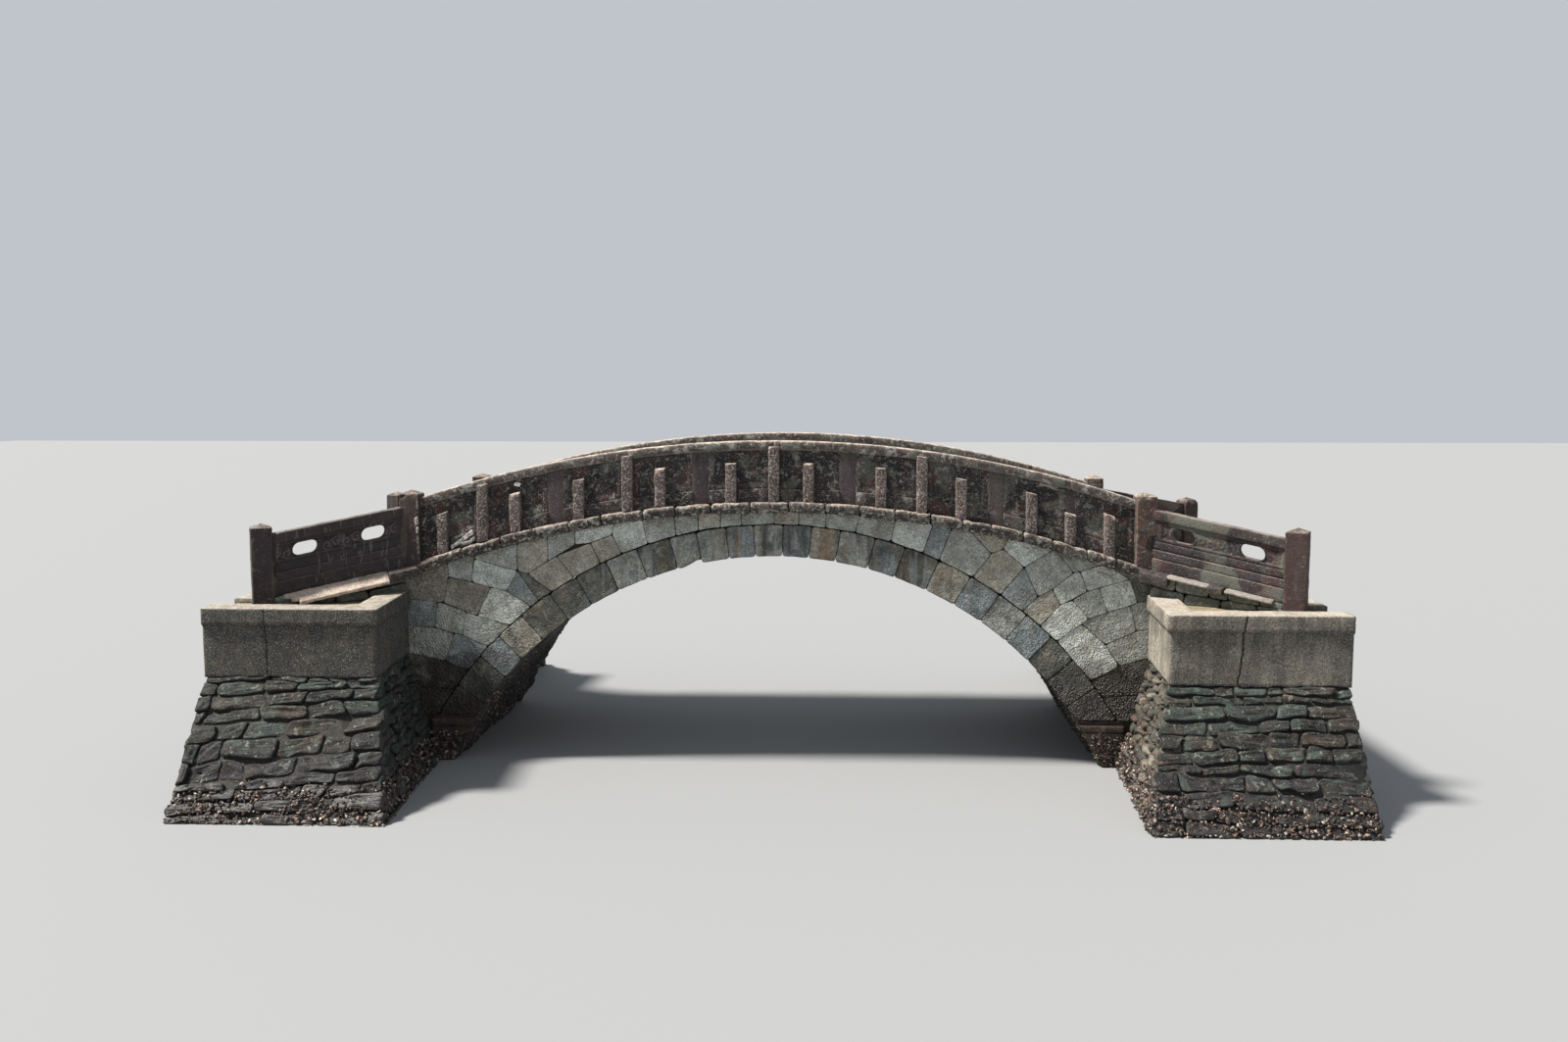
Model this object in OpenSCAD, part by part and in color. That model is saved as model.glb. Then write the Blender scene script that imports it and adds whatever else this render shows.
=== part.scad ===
// Moon bridge: a segmental arch of dressed stone between two sea-washed quays, with a
// cambered roadway, panelled stone parapets and flared wings with pierced panels.
// X runs along the bridge, Y across the channel and Z up. The origin is the centre of
// the base at water level. All sizes are in millimetres.

/* [Arch] */
// Clear span of the arch at water level
clear_span = 9690; // [9200:10:9900]
// Height of the underside of the arch above water, at the crown
arch_rise = 3120; // [2950:10:3220]
// Depth of the ring of arch stones at the crown
ring_depth = 480; // [420:10:540]
// Depth of the ring measured level at water level
ring_foot = 575; // [520:5:620]
// Arch stones in each face ring, an odd number so that one is the keystone
ring_stones = 25; // [19:2:31]
// Open joint between neighbouring arch stones
ring_joint = 6; // [3:1:10]
// Height of the springer blocks that the arch stands on
springer_h = 700; // [600:10:800]
// How far the springer blocks run on behind the ring
springer_tail = 100; // [60:5:120]
// Depth of the two grooves moulded into each springer block
groove_depth = 25; // [10:5:40]
// Height of the fillet over the upper groove
top_fillet = 20; // [10:5:40]
// Height of the upper groove
upper_groove = 50; // [30:5:60]
// Height of the band between the two grooves
groove_band = 110; // [80:5:140]
// Height of the lower groove
lower_groove = 20; // [15:5:40]

/* [Body] */
// Width of the masonry from face to face
bridge_w = 3900; // [3700:10:4200]
// Thickness of the face rings and spandrel walls
face_t = 450; // [350:10:550]
// Length of the masonry beyond the middle of the end posts
end_margin = 500; // [300:10:900]

/* [Roadway] */
// Depth of wall and paving over the crown of the ring
crown_cover = 330; // [300:10:450]
// Fall of the roadway from the crown to the main posts
camber = 950; // [850:10:1050]
// Fall of the approach from the main posts to the end posts
ramp_fall = 400; // [350:10:450]
// Thickness of the paving and of the string course
string_h = 160; // [120:5:165]
// How far the string course stands out of the wall
string_out = 140; // [130:5:180]
// Bevel along the nose of the string course
string_bevel = 30; // [10:5:50]
// Stones in each string course
string_stones = 20; // [14:1:26]
// Open joint between neighbouring string course stones
string_joint = 6; // [3:1:10]

/* [Parapets] */
// Bays in each parapet, an even number
bays = 10; // [8:2:12]
// Height of the parapet above the roadway
parapet_h = 895; // [850:5:1000]
// How far the middle of the parapet stands in from the face of the wall
parapet_in = 80; // [60:5:100]
// Thickness of the panels
panel_t = 120; // [90:5:140]
// Thickness of the sill and of the rail
rail_t = 180; // [160:5:200]
// Height of the sill board
sill_h = 190; // [150:5:230]
// Height of the rail
rail_h = 145; // [120:5:170]
// Bevel along the top edges of the rail
rail_bevel = 20; // [5:5:40]
// Depth of the sunk field in each panel
field_sink = 20; // [10:5:30]
// Margin round the sunk field
field_margin = 60; // [40:5:80]
// Width of the tall outside posts and of the short struts
post_w = 155; // [130:5:180]
// Width of the flush posts between them
flush_w = 255; // [200:5:300]
// How far the tall posts and short struts stand out of the panels
post_out = 125; // [110:5:140]
// Height of the short struts
strut_h = 575; // [450:5:650]
// Distance from the top of the tall posts to the top of the rail
post_drop = 85; // [60:5:120]
// Height of the stub left of the broken tall post
stub_h = 430; // [350:5:500]

/* [Main posts] */
// Width of the main posts and end posts
pier_w = 290; // [250:5:310]
// Height of the main posts above the roadway
pier_h = 1110; // [1050:5:1250]
// Height of the low pyramid on top of each post
cap_h = 60; // [30:5:100]
// Distance of the main posts from the foot of the arch, along the bridge
post_margin = 540; // [500:10:600]
// How far the middle of the main posts stands in from the face of the wall
pier_in = 20; // [10:5:35]

/* [Wings] */
// Distance from the main posts to the end posts, along the bridge
wing_run = 1865; // [1750:5:2000]
// Distance by which the wing flares out, across the bridge
wing_flare = 970; // [850:10:1050]
// Height of the end posts above the approach
end_post_h = 1100; // [1000:10:1250]
// Depth of the foot of the wing below the roadway at the main post
foot_drop = 10; // [0:5:60]
// Fall of the wing from the main post to the end post
wing_fall = 370; // [320:10:380]
// Height of the wing from its foot to the top of its rail
wing_h = 900; // [850:10:950]
// Height of the frieze under the rail of the wing
frieze_h = 300; // [260:10:330]
// Depth of the field sunk into both faces of the frieze
frieze_sink = 15; // [5:5:25]
// Margin round the sunk field of the frieze
frieze_margin = 40; // [25:5:60]
// Bevel along the top edges of the wing's sill board
sill_bevel = 20; // [5:5:30]
// Length of the pierced holes in the wings
hole_len = 340; // [250:10:400]
// Height of the pierced holes in the wings
hole_h = 190; // [150:10:220]
// Thickness of the footing under each wing
footing_t = 300; // [260:10:320]
// How far the ledge stones stand out of the footing
ledge_out = 130; // [80:10:200]
// Thickness of the ledge stones
ledge_t = 70; // [50:5:90]
// How far the row of ledge stones stops short of the footing's ends
ledge_stop = 100; // [60:10:200]
// Depth of the pierced holes below the underside of the rail
hole_drop = 55; // [45:5:60]
// Distance of the first hole from the main post, along the wing
first_hole = 570; // [500:10:650]
// Distance of the second hole from the main post, along the wing
second_hole = 1520; // [1400:10:1600]

/* [Quays] */
// Height of the concrete coping above the end of the approach
coping_rise = 20; // [0:5:60]
// Distance from the face of the arch to the front of the coping
quay_reach = 1750; // [1650:10:1950]
// Gap between the foot of the ring and the side of the coping, at the arch face
quay_gap = 60; // [20:5:80]
// Angle by which the quay's side turns in towards the channel
quay_splay = 4; // [2:0.5:5]
// Depth of the concrete, from the coping down to the rubble
concrete_h = 950; // [850:10:1050]
// Thickness of the concrete
concrete_t = 350; // [300:10:380]
// Height of the band along the top of the concrete
fascia_h = 230; // [180:10:280]
// How far the band stands out of the concrete
fascia_out = 40; // [20:5:50]
// How far the foot of the rubble stands out of the concrete, in front
front_batter = 1320; // [1000:10:1400]
// How far the foot of the rubble stands out of the concrete, at the near sides
near_side_batter = 420; // [200:10:450]
// How far the foot of the rubble stands out of the concrete, at the far sides
far_side_batter = 40; // [20:10:150]
// Depth of the packed fill below the top of the coping
fill_drop = 100; // [80:5:120]

/* [Hidden] */
$fn = 96;
// the long arcs are smooth to a quarter of a millimetre
arc_sides = 720;

arch_colour = [0.50, 0.50, 0.46];
spandrel_colour = [0.56, 0.56, 0.50];
string_colour = [0.42, 0.38, 0.36];
parapet_colour = [0.33, 0.28, 0.27];
post_colour = [0.42, 0.35, 0.34];
springer_colour = [0.40, 0.31, 0.28];
road_colour = [0.55, 0.52, 0.48];
ledge_colour = [0.66, 0.62, 0.56];
concrete_colour = [0.52, 0.49, 0.44];
rubble_colour = [0.38, 0.38, 0.36];

half_w = bridge_w / 2;
core_w = bridge_w - 2 * face_t;
half_span = clear_span / 2;

// radius of an arc from its half chord and its rise
function arc_radius(half_chord, rise) = (half_chord * half_chord + rise * rise) / (2 * rise);

arch_r = arc_radius(half_span, arch_rise);
arch_z = arch_rise - arch_r;
back_r = arc_radius(half_span + ring_foot, arch_rise + ring_depth);
back_z = arch_rise + ring_depth - back_r;
spring_angle = acos((springer_h - arch_z) / arch_r);
tail_x = sqrt(back_r * back_r - (springer_h - back_z) * (springer_h - back_z)) + springer_tail;

post_x = half_span + post_margin;
bay_w = 2 * post_x / bays;
end_x = post_x + wing_run;
half_length = end_x + end_margin;
far_out = 3 * half_length;

road_crown = arch_rise + ring_depth + crown_cover;
road_post = road_crown - camber;
road_end = road_post - ramp_fall;
road_r = arc_radius(post_x, camber);
road_z = road_crown - road_r;
body_x = post_x + pier_w / 2;
string_angle = asin(body_x / road_r);
seat_z = road_z + sqrt(road_r * road_r - body_x * body_x);
string_face = half_w + string_out;

parapet_y = half_w - parapet_in;
panel_face = parapet_y + panel_t / 2;
rail_face = parapet_y + rail_t / 2;
post_face = panel_face + post_out;

pier_y = half_w - pier_in;
wing_len = norm([wing_run, wing_flare]);
wing_turn = atan2(wing_flare, wing_run);
wing_foot = road_post - foot_drop;
wing_drop = wing_fall / wing_len;

quay_top = road_end + coping_rise;
fill_top = quay_top - fill_drop;
rubble_h = quay_top - concrete_h;
quay_front = half_w + quay_reach;
quay_foot = quay_front + front_batter;
quay_side = half_span + ring_foot + quay_gap;

// a disc lying across the bridge, with its axis along Y
module disc(r, z, width = bridge_w) {
    translate([0, 0, z]) rotate([90, 0, 0]) cylinder(r = r, h = width, center = true, $fn = arc_sides);
}

// a slab that stands between two distances from the roadway's middle, on the far side
module far_slab(inner, outer, x0, x1, z0, z1) {
    translate([x0, inner, z0]) cube([x1 - x0, outer - inner, z1 - z0]);
}

// an outline in X and Z carried along Y
module across(y0, y1) {
    translate([0, y1, 0]) rotate([90, 0, 0]) linear_extrude(height = y1 - y0) children();
}

// angle from the crown of a point on the camber, at a height above the roadway
function lean(x, h) = asin(x / (road_r + h));

// revolves a section about the camber's axis, from one end to the other; the section's
// first coordinate is the height above the roadway and its second the distance in Y
module revolved(from, to) {
    translate([0, 0, road_z]) rotate([90, 0, 0]) rotate([0, 0, 90 - to])
        rotate_extrude(angle = to - from, $fn = arc_sides) translate([road_r, 0]) mirror([0, 1]) children();
}

// a cambered member between two upright ends, on the right half of the bridge
module cambered(x0, x1, h0, h1) {
    intersection() {
        revolved(lean(x0, h1), lean(x1, h0)) children();
        translate([x0, -far_out, 0]) cube([x1 - x0, 2 * far_out, far_out]);
    }
}

// a plain cambered member between two heights and two distances in Y
module cambered_bar(x0, x1, h0, h1, y0, y1) {
    cambered(x0, x1, h0, h1) translate([h0, y0]) square([h1 - h0, y1 - y0]);
}

module both_ends() {
    children();
    mirror([1, 0, 0]) children();
}

module near() { mirror([0, 1, 0]) children(); }
module left() { mirror([1, 0, 0]) children(); }

// outline of one arch stone: a wedge with half a joint off each side
module wedge(from, to, gap, centre_z, r0, r1) {
    function at(r, a, shift) = [r * sin(a) + shift * cos(a), centre_z + r * cos(a) - shift * sin(a)];
    polygon([at(r0, from, gap / 2), at(r1, from, gap / 2), at(r1, to, -gap / 2), at(r0, to, -gap / 2)]);
}

// the arch between its underside and its back, in a slab between two heights
module arch_band(y0, y1, low, high) {
    middle = (y0 + y1) / 2;
    intersection() {
        translate([0, middle, 0]) difference() {
            disc(back_r, back_z, y1 - y0);
            disc(arch_r, arch_z, y1 - y0 + 2);
        }
        translate([-far_out / 2, y0 - 1, low]) cube([far_out, y1 - y0 + 2, high - low]);
    }
}

module arch_vault() {
    color(arch_colour) arch_band(-core_w / 2, core_w / 2, springer_h, far_out);
}

// arch stones, each its own block; the lowest pair is cut level to sit on the springers
module far_ring() {
    pitch = 2 * spring_angle / ring_stones;
    overrun = 10;
    for (i = [0 : ring_stones - 1]) {
        from = -spring_angle + i * pitch - (i == 0 ? overrun : 0);
        to = -spring_angle + (i + 1) * pitch + (i == ring_stones - 1 ? overrun : 0);
        color(arch_colour) intersection() {
            arch_band(half_w - face_t, half_w, springer_h, far_out);
            across(half_w - face_t - 1, half_w + 1)
                wedge(from, to, ring_joint, arch_z, arch_r / 2, 2 * arch_r);
        }
    }
}

// a level groove along both faces of a springer block
module groove(top, height) {
    for (side = [-1, 1])
        translate([0, side * half_w - groove_depth, top - height])
            cube([far_out, 2 * groove_depth, height]);
}

// a springer block carries the arch on down to the water, with an upright back
module springer() {
    high = springer_h - top_fillet;
    low = high - upper_groove - groove_band;
    color(springer_colour) difference() {
        translate([0, -half_w, 0]) cube([tail_x, bridge_w, springer_h]);
        disc(arch_r, arch_z, bridge_w + 2);
        groove(high, upper_groove);
        groove(low, lower_groove);
    }
}

// the room taken by the arch and its springer blocks, cut out of what lies behind them
module arch_room() {
    difference() {
        disc(back_r, back_z, bridge_w + 4);
        translate([-far_out / 2, -half_w - 3, -far_out]) cube([far_out, bridge_w + 6, far_out + springer_h]);
    }
    translate([-tail_x, -half_w - 3, -1]) cube([2 * tail_x, bridge_w + 6, springer_h + 1]);
}

// masonry behind the arch: it fills the haunch up to the paving and runs on to the end
module haunch() {
    color(rubble_colour) difference() {
        union() {
            intersection() {
                translate([0, -core_w / 2, 0]) cube([body_x, core_w, far_out]);
                disc(road_r - string_h, road_z);
            }
            translate([body_x, -half_w, 0]) cube([half_length - body_x, bridge_w, fill_top]);
        }
        arch_room();
    }
}

// wall of coursed stone between the back of the ring and the string course
module far_spandrel() {
    color(spandrel_colour) difference() {
        intersection() {
            far_slab(half_w - face_t, half_w, -body_x, body_x, 0, far_out);
            disc(road_r - string_h, road_z, bridge_w + 2);
        }
        arch_room();
    }
}

// string course: a bevelled section revolved along the camber, cut into stones, with
// a level seat for each main post
module far_string() {
    pitch = 2 * string_angle / string_stones;
    gap = asin(string_joint / road_r);
    inner = half_w - face_t;
    for (i = [0 : string_stones - 1]) {
        from = -string_angle + i * pitch + gap / 2;
        color(string_colour) difference() {
            revolved(from, from + pitch - gap)
                polygon([[-string_h, inner], [-string_h, string_face - string_bevel],
                    [string_bevel - string_h, string_face], [-string_bevel / 2, string_face],
                    [0, string_face - string_bevel / 2], [0, inner]]);
            both_ends() translate([body_x - pier_w, 0, seat_z]) cube([far_out, far_out, far_out]);
        }
    }
}

module roadway() {
    color(road_colour) both_ends() cambered_bar(0, body_x, -string_h, 0, -core_w / 2, core_w / 2);
}

// the ramp between the wings, from the main posts to the end of the masonry
module approach() {
    side = footing_t / 2;
    inner = side / cos(wing_turn);
    slope = tan(wing_turn);
    y_start = pier_y + (body_x - post_x) * slope - inner;
    y_end = pier_y + (end_x - post_x) * slope - inner;
    color(road_colour) difference() {
        intersection() {
            linear_extrude(height = far_out)
                polygon([[body_x, -y_start], [end_x, -y_end], [half_length, -y_end],
                    [half_length, y_end], [end_x, y_end], [body_x, y_start]]);
            across(-far_out, far_out)
                polygon([[body_x, fill_top], [body_x, seat_z], [end_x, road_end],
                    [half_length, road_end], [half_length, fill_top]]);
        }
        coping();
        near() coping();
    }
}

// a square post with a low pyramid on top, made of two crossed gables
module pier(top) {
    w = pier_w / 2;
    module gable() {
        rotate([90, 0, 0]) linear_extrude(height = pier_w, center = true)
            polygon([[-w, 0], [w, 0], [w, top - cap_h], [0, top], [-w, top - cap_h]]);
    }
    intersection() {
        gable();
        rotate([0, 0, 90]) gable();
    }
}

// a main post stands on its seat at the end of the string course
module main_post() {
    color(post_colour) translate([post_x, pier_y, seat_z]) pier(road_post + pier_h - seat_z);
}

// places a piece drawn along X on the line of the wing, from the main post outwards
module on_wing() {
    translate([post_x, pier_y, 0]) rotate([0, 0, wing_turn]) children();
}

module end_post() {
    color(post_colour) on_wing() translate([wing_len, 0, fill_top])
        pier(road_end + end_post_h - fill_top);
}

// a sloping bar along the wing between two heights above its foot
module wing_bar(h0, h1, thick, s0 = 0, s1 = wing_len - pier_w / 2) {
    wing_strip(s0, s1) translate([-thick / 2, h0]) square([thick, h1 - h0]);
}

// carries a section along the wing's slope; its first coordinate lies across the wing
// and its second is the height above the wing's foot
module wing_strip(s0, s1) {
    shear = [[1, 0, 0, 0], [0, 1, 0, 0], [-wing_drop, 0, 1, wing_foot], [0, 0, 0, 1]];
    multmatrix(shear) translate([s0, 0, 0]) rotate([90, 0, 90]) linear_extrude(height = s1 - s0) children();
}

// an oval hole through the wing, lying along its slope just under the rail
module wing_hole(s) {
    z = wing_foot - wing_drop * s + wing_h - rail_h - hole_h / 2 - hole_drop;
    reach = (hole_len - hole_h) / 2;
    translate([s, 0, z]) rotate([0, atan(wing_drop), 0]) {
        for (x = [-reach, reach])
            translate([x, 0, 0]) rotate([90, 0, 0]) cylinder(d = hole_h, h = 2 * rail_t, center = true);
        cube([2 * reach, 2 * rail_t, hole_h], center = true);
    }
}

// keeps only what lies beyond the outer face of the main post
module beyond_post() {
    intersection() {
        children();
        translate([body_x, 0, 0]) cube([far_out, far_out, far_out]);
    }
}

// wing: a bevelled sill board and a thinner panel on it, whose frieze is sunk and pierced
module wing() {
    top = wing_h - rail_h;
    field_start = (body_x - post_x) / cos(wing_turn) + frieze_margin + panel_t / 2;
    field_end = wing_len - pier_w / 2 - frieze_margin;
    color(parapet_colour) beyond_post() on_wing() difference() {
        wing_strip(0, wing_len - pier_w / 2)
            polygon([[-rail_t / 2, 0], [rail_t / 2, 0], [rail_t / 2, sill_h - sill_bevel],
                [rail_t / 2 - sill_bevel, sill_h], [panel_t / 2, sill_h], [panel_t / 2, top],
                [-panel_t / 2, top], [-panel_t / 2, sill_h], [sill_bevel - rail_t / 2, sill_h],
                [-rail_t / 2, sill_h - sill_bevel]]);
        for (side = [-1, 1]) translate([0, side * panel_t / 2, 0])
            wing_bar(top - frieze_h + frieze_margin, top - frieze_margin, 2 * frieze_sink,
                field_start, field_end);
        for (s = [first_hole, second_hole]) wing_hole(s);
    }
}

module wing_rail() {
    color(parapet_colour) beyond_post() on_wing() wing_bar(wing_h - rail_h, wing_h, rail_t);
}

// footing of the wing with its row of ledge stones along the outside
module wing_kerb() {
    s1 = wing_len - pier_w / 2;
    color(ledge_colour) beyond_post() difference() {
        on_wing() {
            across(-footing_t / 2, footing_t / 2)
                polygon([[0, fill_top], [s1, fill_top], [s1, wing_foot - wing_drop * s1], [0, wing_foot]]);
            translate([0, footing_t / 2 + ledge_out / 2, 0])
                wing_bar(-ledge_t, 0, ledge_out + 2, ledge_stop, s1 - ledge_stop);
        }
        coping();
    }
}

// distance of the quay's side from the middle, at a distance from the roadway's middle
function side_x(y) = quay_side - (y - half_w) * tan(quay_splay);

// plan of the quay, grown outwards by a margin, less a strip of the given width
module quay_plan(grow = 0) {
    front = quay_front + grow;
    polygon([[side_x(half_w) - grow, half_w], [side_x(front) - grow, front],
        [half_length, front], [half_length, half_w]]);
}

module quay_inside(strip) {
    front = quay_front - strip;
    polygon([[side_x(half_w) + strip, half_w - 1], [side_x(front) + strip, front],
        [half_length + 1, front], [half_length + 1, half_w - 1]]);
}

// concrete coping: an upright wall round the quay with a band along its top
module coping() {
    difference() {
        union() {
            translate([0, 0, rubble_h]) linear_extrude(height = concrete_h) quay_plan();
            translate([0, 0, quay_top - fascia_h]) linear_extrude(height = fascia_h) quay_plan(fascia_out);
        }
        translate([0, 0, rubble_h - 1]) linear_extrude(height = concrete_h + 2) quay_inside(concrete_t);
    }
}

module quay_cap() {
    color(concrete_colour) coping();
}

// rubble: battered in front and at the side, with packed fill inside the coping
module quay_wall(side_batter) {
    color(rubble_colour) {
        intersection() {
            translate([0, half_w, 0]) cube([half_length, quay_foot, rubble_h]);
            rotate([90, 0, 90]) linear_extrude(height = half_length)
                polygon([[half_w, 0], [quay_foot, 0], [quay_front, rubble_h], [half_w, rubble_h]]);
            translate([quay_side, half_w, 0]) rotate([0, 0, quay_splay]) across(-far_out, far_out)
                polygon([[-side_batter, 0], [far_out, 0], [far_out, rubble_h], [0, rubble_h]]);
        }
        translate([0, 0, rubble_h / 2]) linear_extrude(height = fill_top - rubble_h / 2)
            intersection() {
                quay_inside(concrete_t);
                translate([0, half_w]) square([half_length, quay_front]);
            }
    }
}

// posts are counted from the crown: even ones stand tall outside the panels, odd ones
// are wide strips flush with the panels, and the last is the main post
function post_width(k) = k == bays / 2 ? pier_w : k % 2 == 0 ? post_w : flush_w;

// the clear stretch of a bay, between its posts
function bay_from(i) = i * bay_w + post_width(i) / 2;
function bay_to(i) = (i + 1) * bay_w - post_width(i + 1) / 2;

// sill boards of the parapet, one to a bay, between the posts
module far_sill() {
    color(parapet_colour) both_ends() for (i = [0 : bays / 2 - 1])
        cambered_bar(bay_from(i), bay_to(i), 0, sill_h, parapet_y - rail_t / 2, rail_face);
}

// panels between sill and rail, each with a field sunk into its outer face
module far_panels() {
    top = parapet_h - rail_h;
    m = field_margin;
    color(parapet_colour) both_ends() for (i = [0 : bays / 2 - 1])
        difference() {
            cambered_bar(bay_from(i), bay_to(i), sill_h, top, parapet_y - panel_t / 2, panel_face);
            cambered_bar(bay_from(i) + m, bay_to(i) - m, sill_h + m, top - m,
                panel_face - field_sink, panel_face + 1);
        }
}

// rail with bevelled top edges, in lengths that meet over the tall posts
module far_rail() {
    joints = [for (x = [0 : 2 * bay_w : post_x - bay_w / 2]) x, post_x - pier_w / 2];
    y0 = parapet_y - rail_t / 2;
    low = parapet_h - rail_h;
    color(parapet_colour) both_ends() for (i = [1 : len(joints) - 1])
        cambered(joints[i - 1] + string_joint / 2, joints[i] - (i == len(joints) - 1 ? 0 : string_joint / 2),
            low, parapet_h)
            polygon([[low, y0], [low, rail_face], [parapet_h - rail_bevel, rail_face],
                [parapet_h, rail_face - rail_bevel], [parapet_h, y0 + rail_bevel],
                [parapet_h - rail_bevel, y0]]);
}

// a post: a strip between the panels and, on even ones, a tall outside post that is
// notched over the rail
module parapet_post(k, top) {
    x0 = k * bay_w - post_width(k) / 2;
    x1 = x0 + post_width(k);
    low = parapet_h - rail_h;
    cambered_bar(x0, x1, 0, low, parapet_y - rail_t / 2, panel_face);
    if (k % 2 == 0) difference() {
        cambered_bar(x0, x1, 0, top, panel_face - 1, post_face);
        cambered_bar(x0 - 1, x1 + 1, low, parapet_h, parapet_y - rail_t / 2, rail_face);
    }
}

// a short strut in the middle of a bay, notched over the sill
module strut(i) {
    x0 = (i + 0.5) * bay_w - post_w / 2;
    difference() {
        cambered_bar(x0, x0 + post_w, 0, strut_h, panel_face, post_face);
        cambered_bar(x0 - 1, x0 + post_w + 1, -1, sill_h, parapet_y - rail_t / 2, rail_face);
    }
}

module far_posts(broken = false) {
    last = bays / 2 - 1;
    full = parapet_h - post_drop;
    color(post_colour) {
        middle_post(full);
        for (k = [1 : last]) {
            parapet_post(k, broken && k == last ? stub_h : full);
            left() parapet_post(k, full);
        }
        both_ends() for (i = [0 : last]) strut(i);
    }
}

// the post at the crown, made of two mirrored halves
module middle_post(top) {
    w = post_w / 2;
    low = parapet_h - rail_h;
    both_ends() {
        cambered_bar(0, w, 0, low, parapet_y - rail_t / 2, panel_face);
        difference() {
            cambered_bar(0, w, 0, top, panel_face - 1, post_face);
            cambered_bar(0, w + 1, low, parapet_h, parapet_y - rail_t / 2, rail_face);
        }
    }
}

arch_vault();
near() far_ring();  // near_arch_ring
far_ring();  // far_arch_ring
left() springer();  // left_springer
springer();  // right_springer
left() haunch();  // left_haunch
haunch();  // right_haunch
near() far_spandrel();  // near_spandrel_wall
far_spandrel();  // far_spandrel_wall
near() far_string();  // near_string_course
far_string();  // far_string_course
roadway();
left() approach();  // left_approach
approach();  // right_approach
near() left() main_post();  // near_left_main_post
near() main_post();  // near_right_main_post
left() main_post();  // far_left_main_post
main_post();  // far_right_main_post
near() { end_post(); left() end_post(); }  // near_end_posts
union() { end_post(); left() end_post(); }  // far_end_posts
near() far_sill();  // near_sill
far_sill();
near() far_panels();  // near_panels
far_panels();
near() far_rail();  // near_rail
far_rail();
near() far_posts(broken = true);  // near_posts
far_posts();
near() left() wing();  // near_left_wing
near() wing();  // near_right_wing
left() wing();  // far_left_wing
wing();  // far_right_wing
near() { wing_rail(); left() wing_rail(); }  // near_wing_rails
union() { wing_rail(); left() wing_rail(); }  // far_wing_rails
near() { wing_kerb(); left() wing_kerb(); }  // near_wing_kerbs
union() { wing_kerb(); left() wing_kerb(); }  // far_wing_kerbs
near() left() quay_cap();  // near_left_quay_cap
near() quay_cap();  // near_right_quay_cap
left() quay_cap();  // far_left_quay_cap
quay_cap();  // far_right_quay_cap
near() left() quay_wall(near_side_batter);  // near_left_quay_wall
near() quay_wall(near_side_batter);  // near_right_quay_wall
left() quay_wall(far_side_batter);  // far_left_quay_wall
quay_wall(far_side_batter);  // far_right_quay_wall
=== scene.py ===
import math

import bpy
import numpy as np
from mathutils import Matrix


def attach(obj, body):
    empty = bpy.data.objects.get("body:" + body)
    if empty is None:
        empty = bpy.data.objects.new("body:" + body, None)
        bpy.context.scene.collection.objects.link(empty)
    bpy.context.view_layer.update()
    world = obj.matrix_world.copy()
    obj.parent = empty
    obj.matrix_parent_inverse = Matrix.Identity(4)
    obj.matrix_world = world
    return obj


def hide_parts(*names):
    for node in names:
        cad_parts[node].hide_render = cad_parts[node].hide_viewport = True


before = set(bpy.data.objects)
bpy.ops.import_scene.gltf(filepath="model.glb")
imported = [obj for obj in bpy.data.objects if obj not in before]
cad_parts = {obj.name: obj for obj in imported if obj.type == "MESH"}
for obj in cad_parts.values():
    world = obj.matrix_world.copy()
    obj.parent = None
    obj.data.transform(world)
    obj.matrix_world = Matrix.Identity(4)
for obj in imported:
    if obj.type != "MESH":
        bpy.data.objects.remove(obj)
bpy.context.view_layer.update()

# View: the photograph was taken 21 m in front of the middle of the bridge and 5.6 m above
# its foot, with a lens of about 30 mm, looking a little down and to the left.
CAMERA_PLACE, LENS, SENSOR = (0.948, -21.01, 5.557), 30.0, 36.0
LOOK_DOWN, LOOK_LEFT = math.radians(5.72), math.radians(2.412)
scene = bpy.context.scene


def placed(name, data):
    """Puts a camera, a lamp or a mesh into the scene."""
    item = bpy.data.objects.new(name, data)
    scene.collection.objects.link(item)
    return item


camera_data = bpy.data.cameras.new("view")
camera_data.lens, camera_data.sensor_width = LENS, SENSOR
camera = placed("view", camera_data)
camera.location = CAMERA_PLACE
camera.rotation_euler = (math.pi / 2 - LOOK_DOWN, 0, LOOK_LEFT)
scene.camera = camera

# a plain pale floor
FLOOR_X, FLOOR_FRONT, FLOOR_BACK = 90, -60, 120
FLOOR_COLOUR, FLOOR_ROUGHNESS = (0.235, 0.24, 0.245, 1), 0.9
floor_mesh = bpy.data.meshes.new("floor")
floor_mesh.from_pydata([(-FLOOR_X, FLOOR_FRONT, 0), (FLOOR_X, FLOOR_FRONT, 0), (FLOOR_X, FLOOR_BACK, 0),
                        (-FLOOR_X, FLOOR_BACK, 0)], [], [(0, 1, 2, 3)])
floor = placed("floor", floor_mesh)
floor_finish = bpy.data.materials.new("floor")
floor_finish.use_nodes = True
floor_shader = floor_finish.node_tree.nodes["Principled BSDF"]
floor_shader.inputs["Base Color"].default_value = FLOOR_COLOUR
floor_shader.inputs["Roughness"].default_value = FLOOR_ROUGHNESS
floor_mesh.materials.append(floor_finish)

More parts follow.
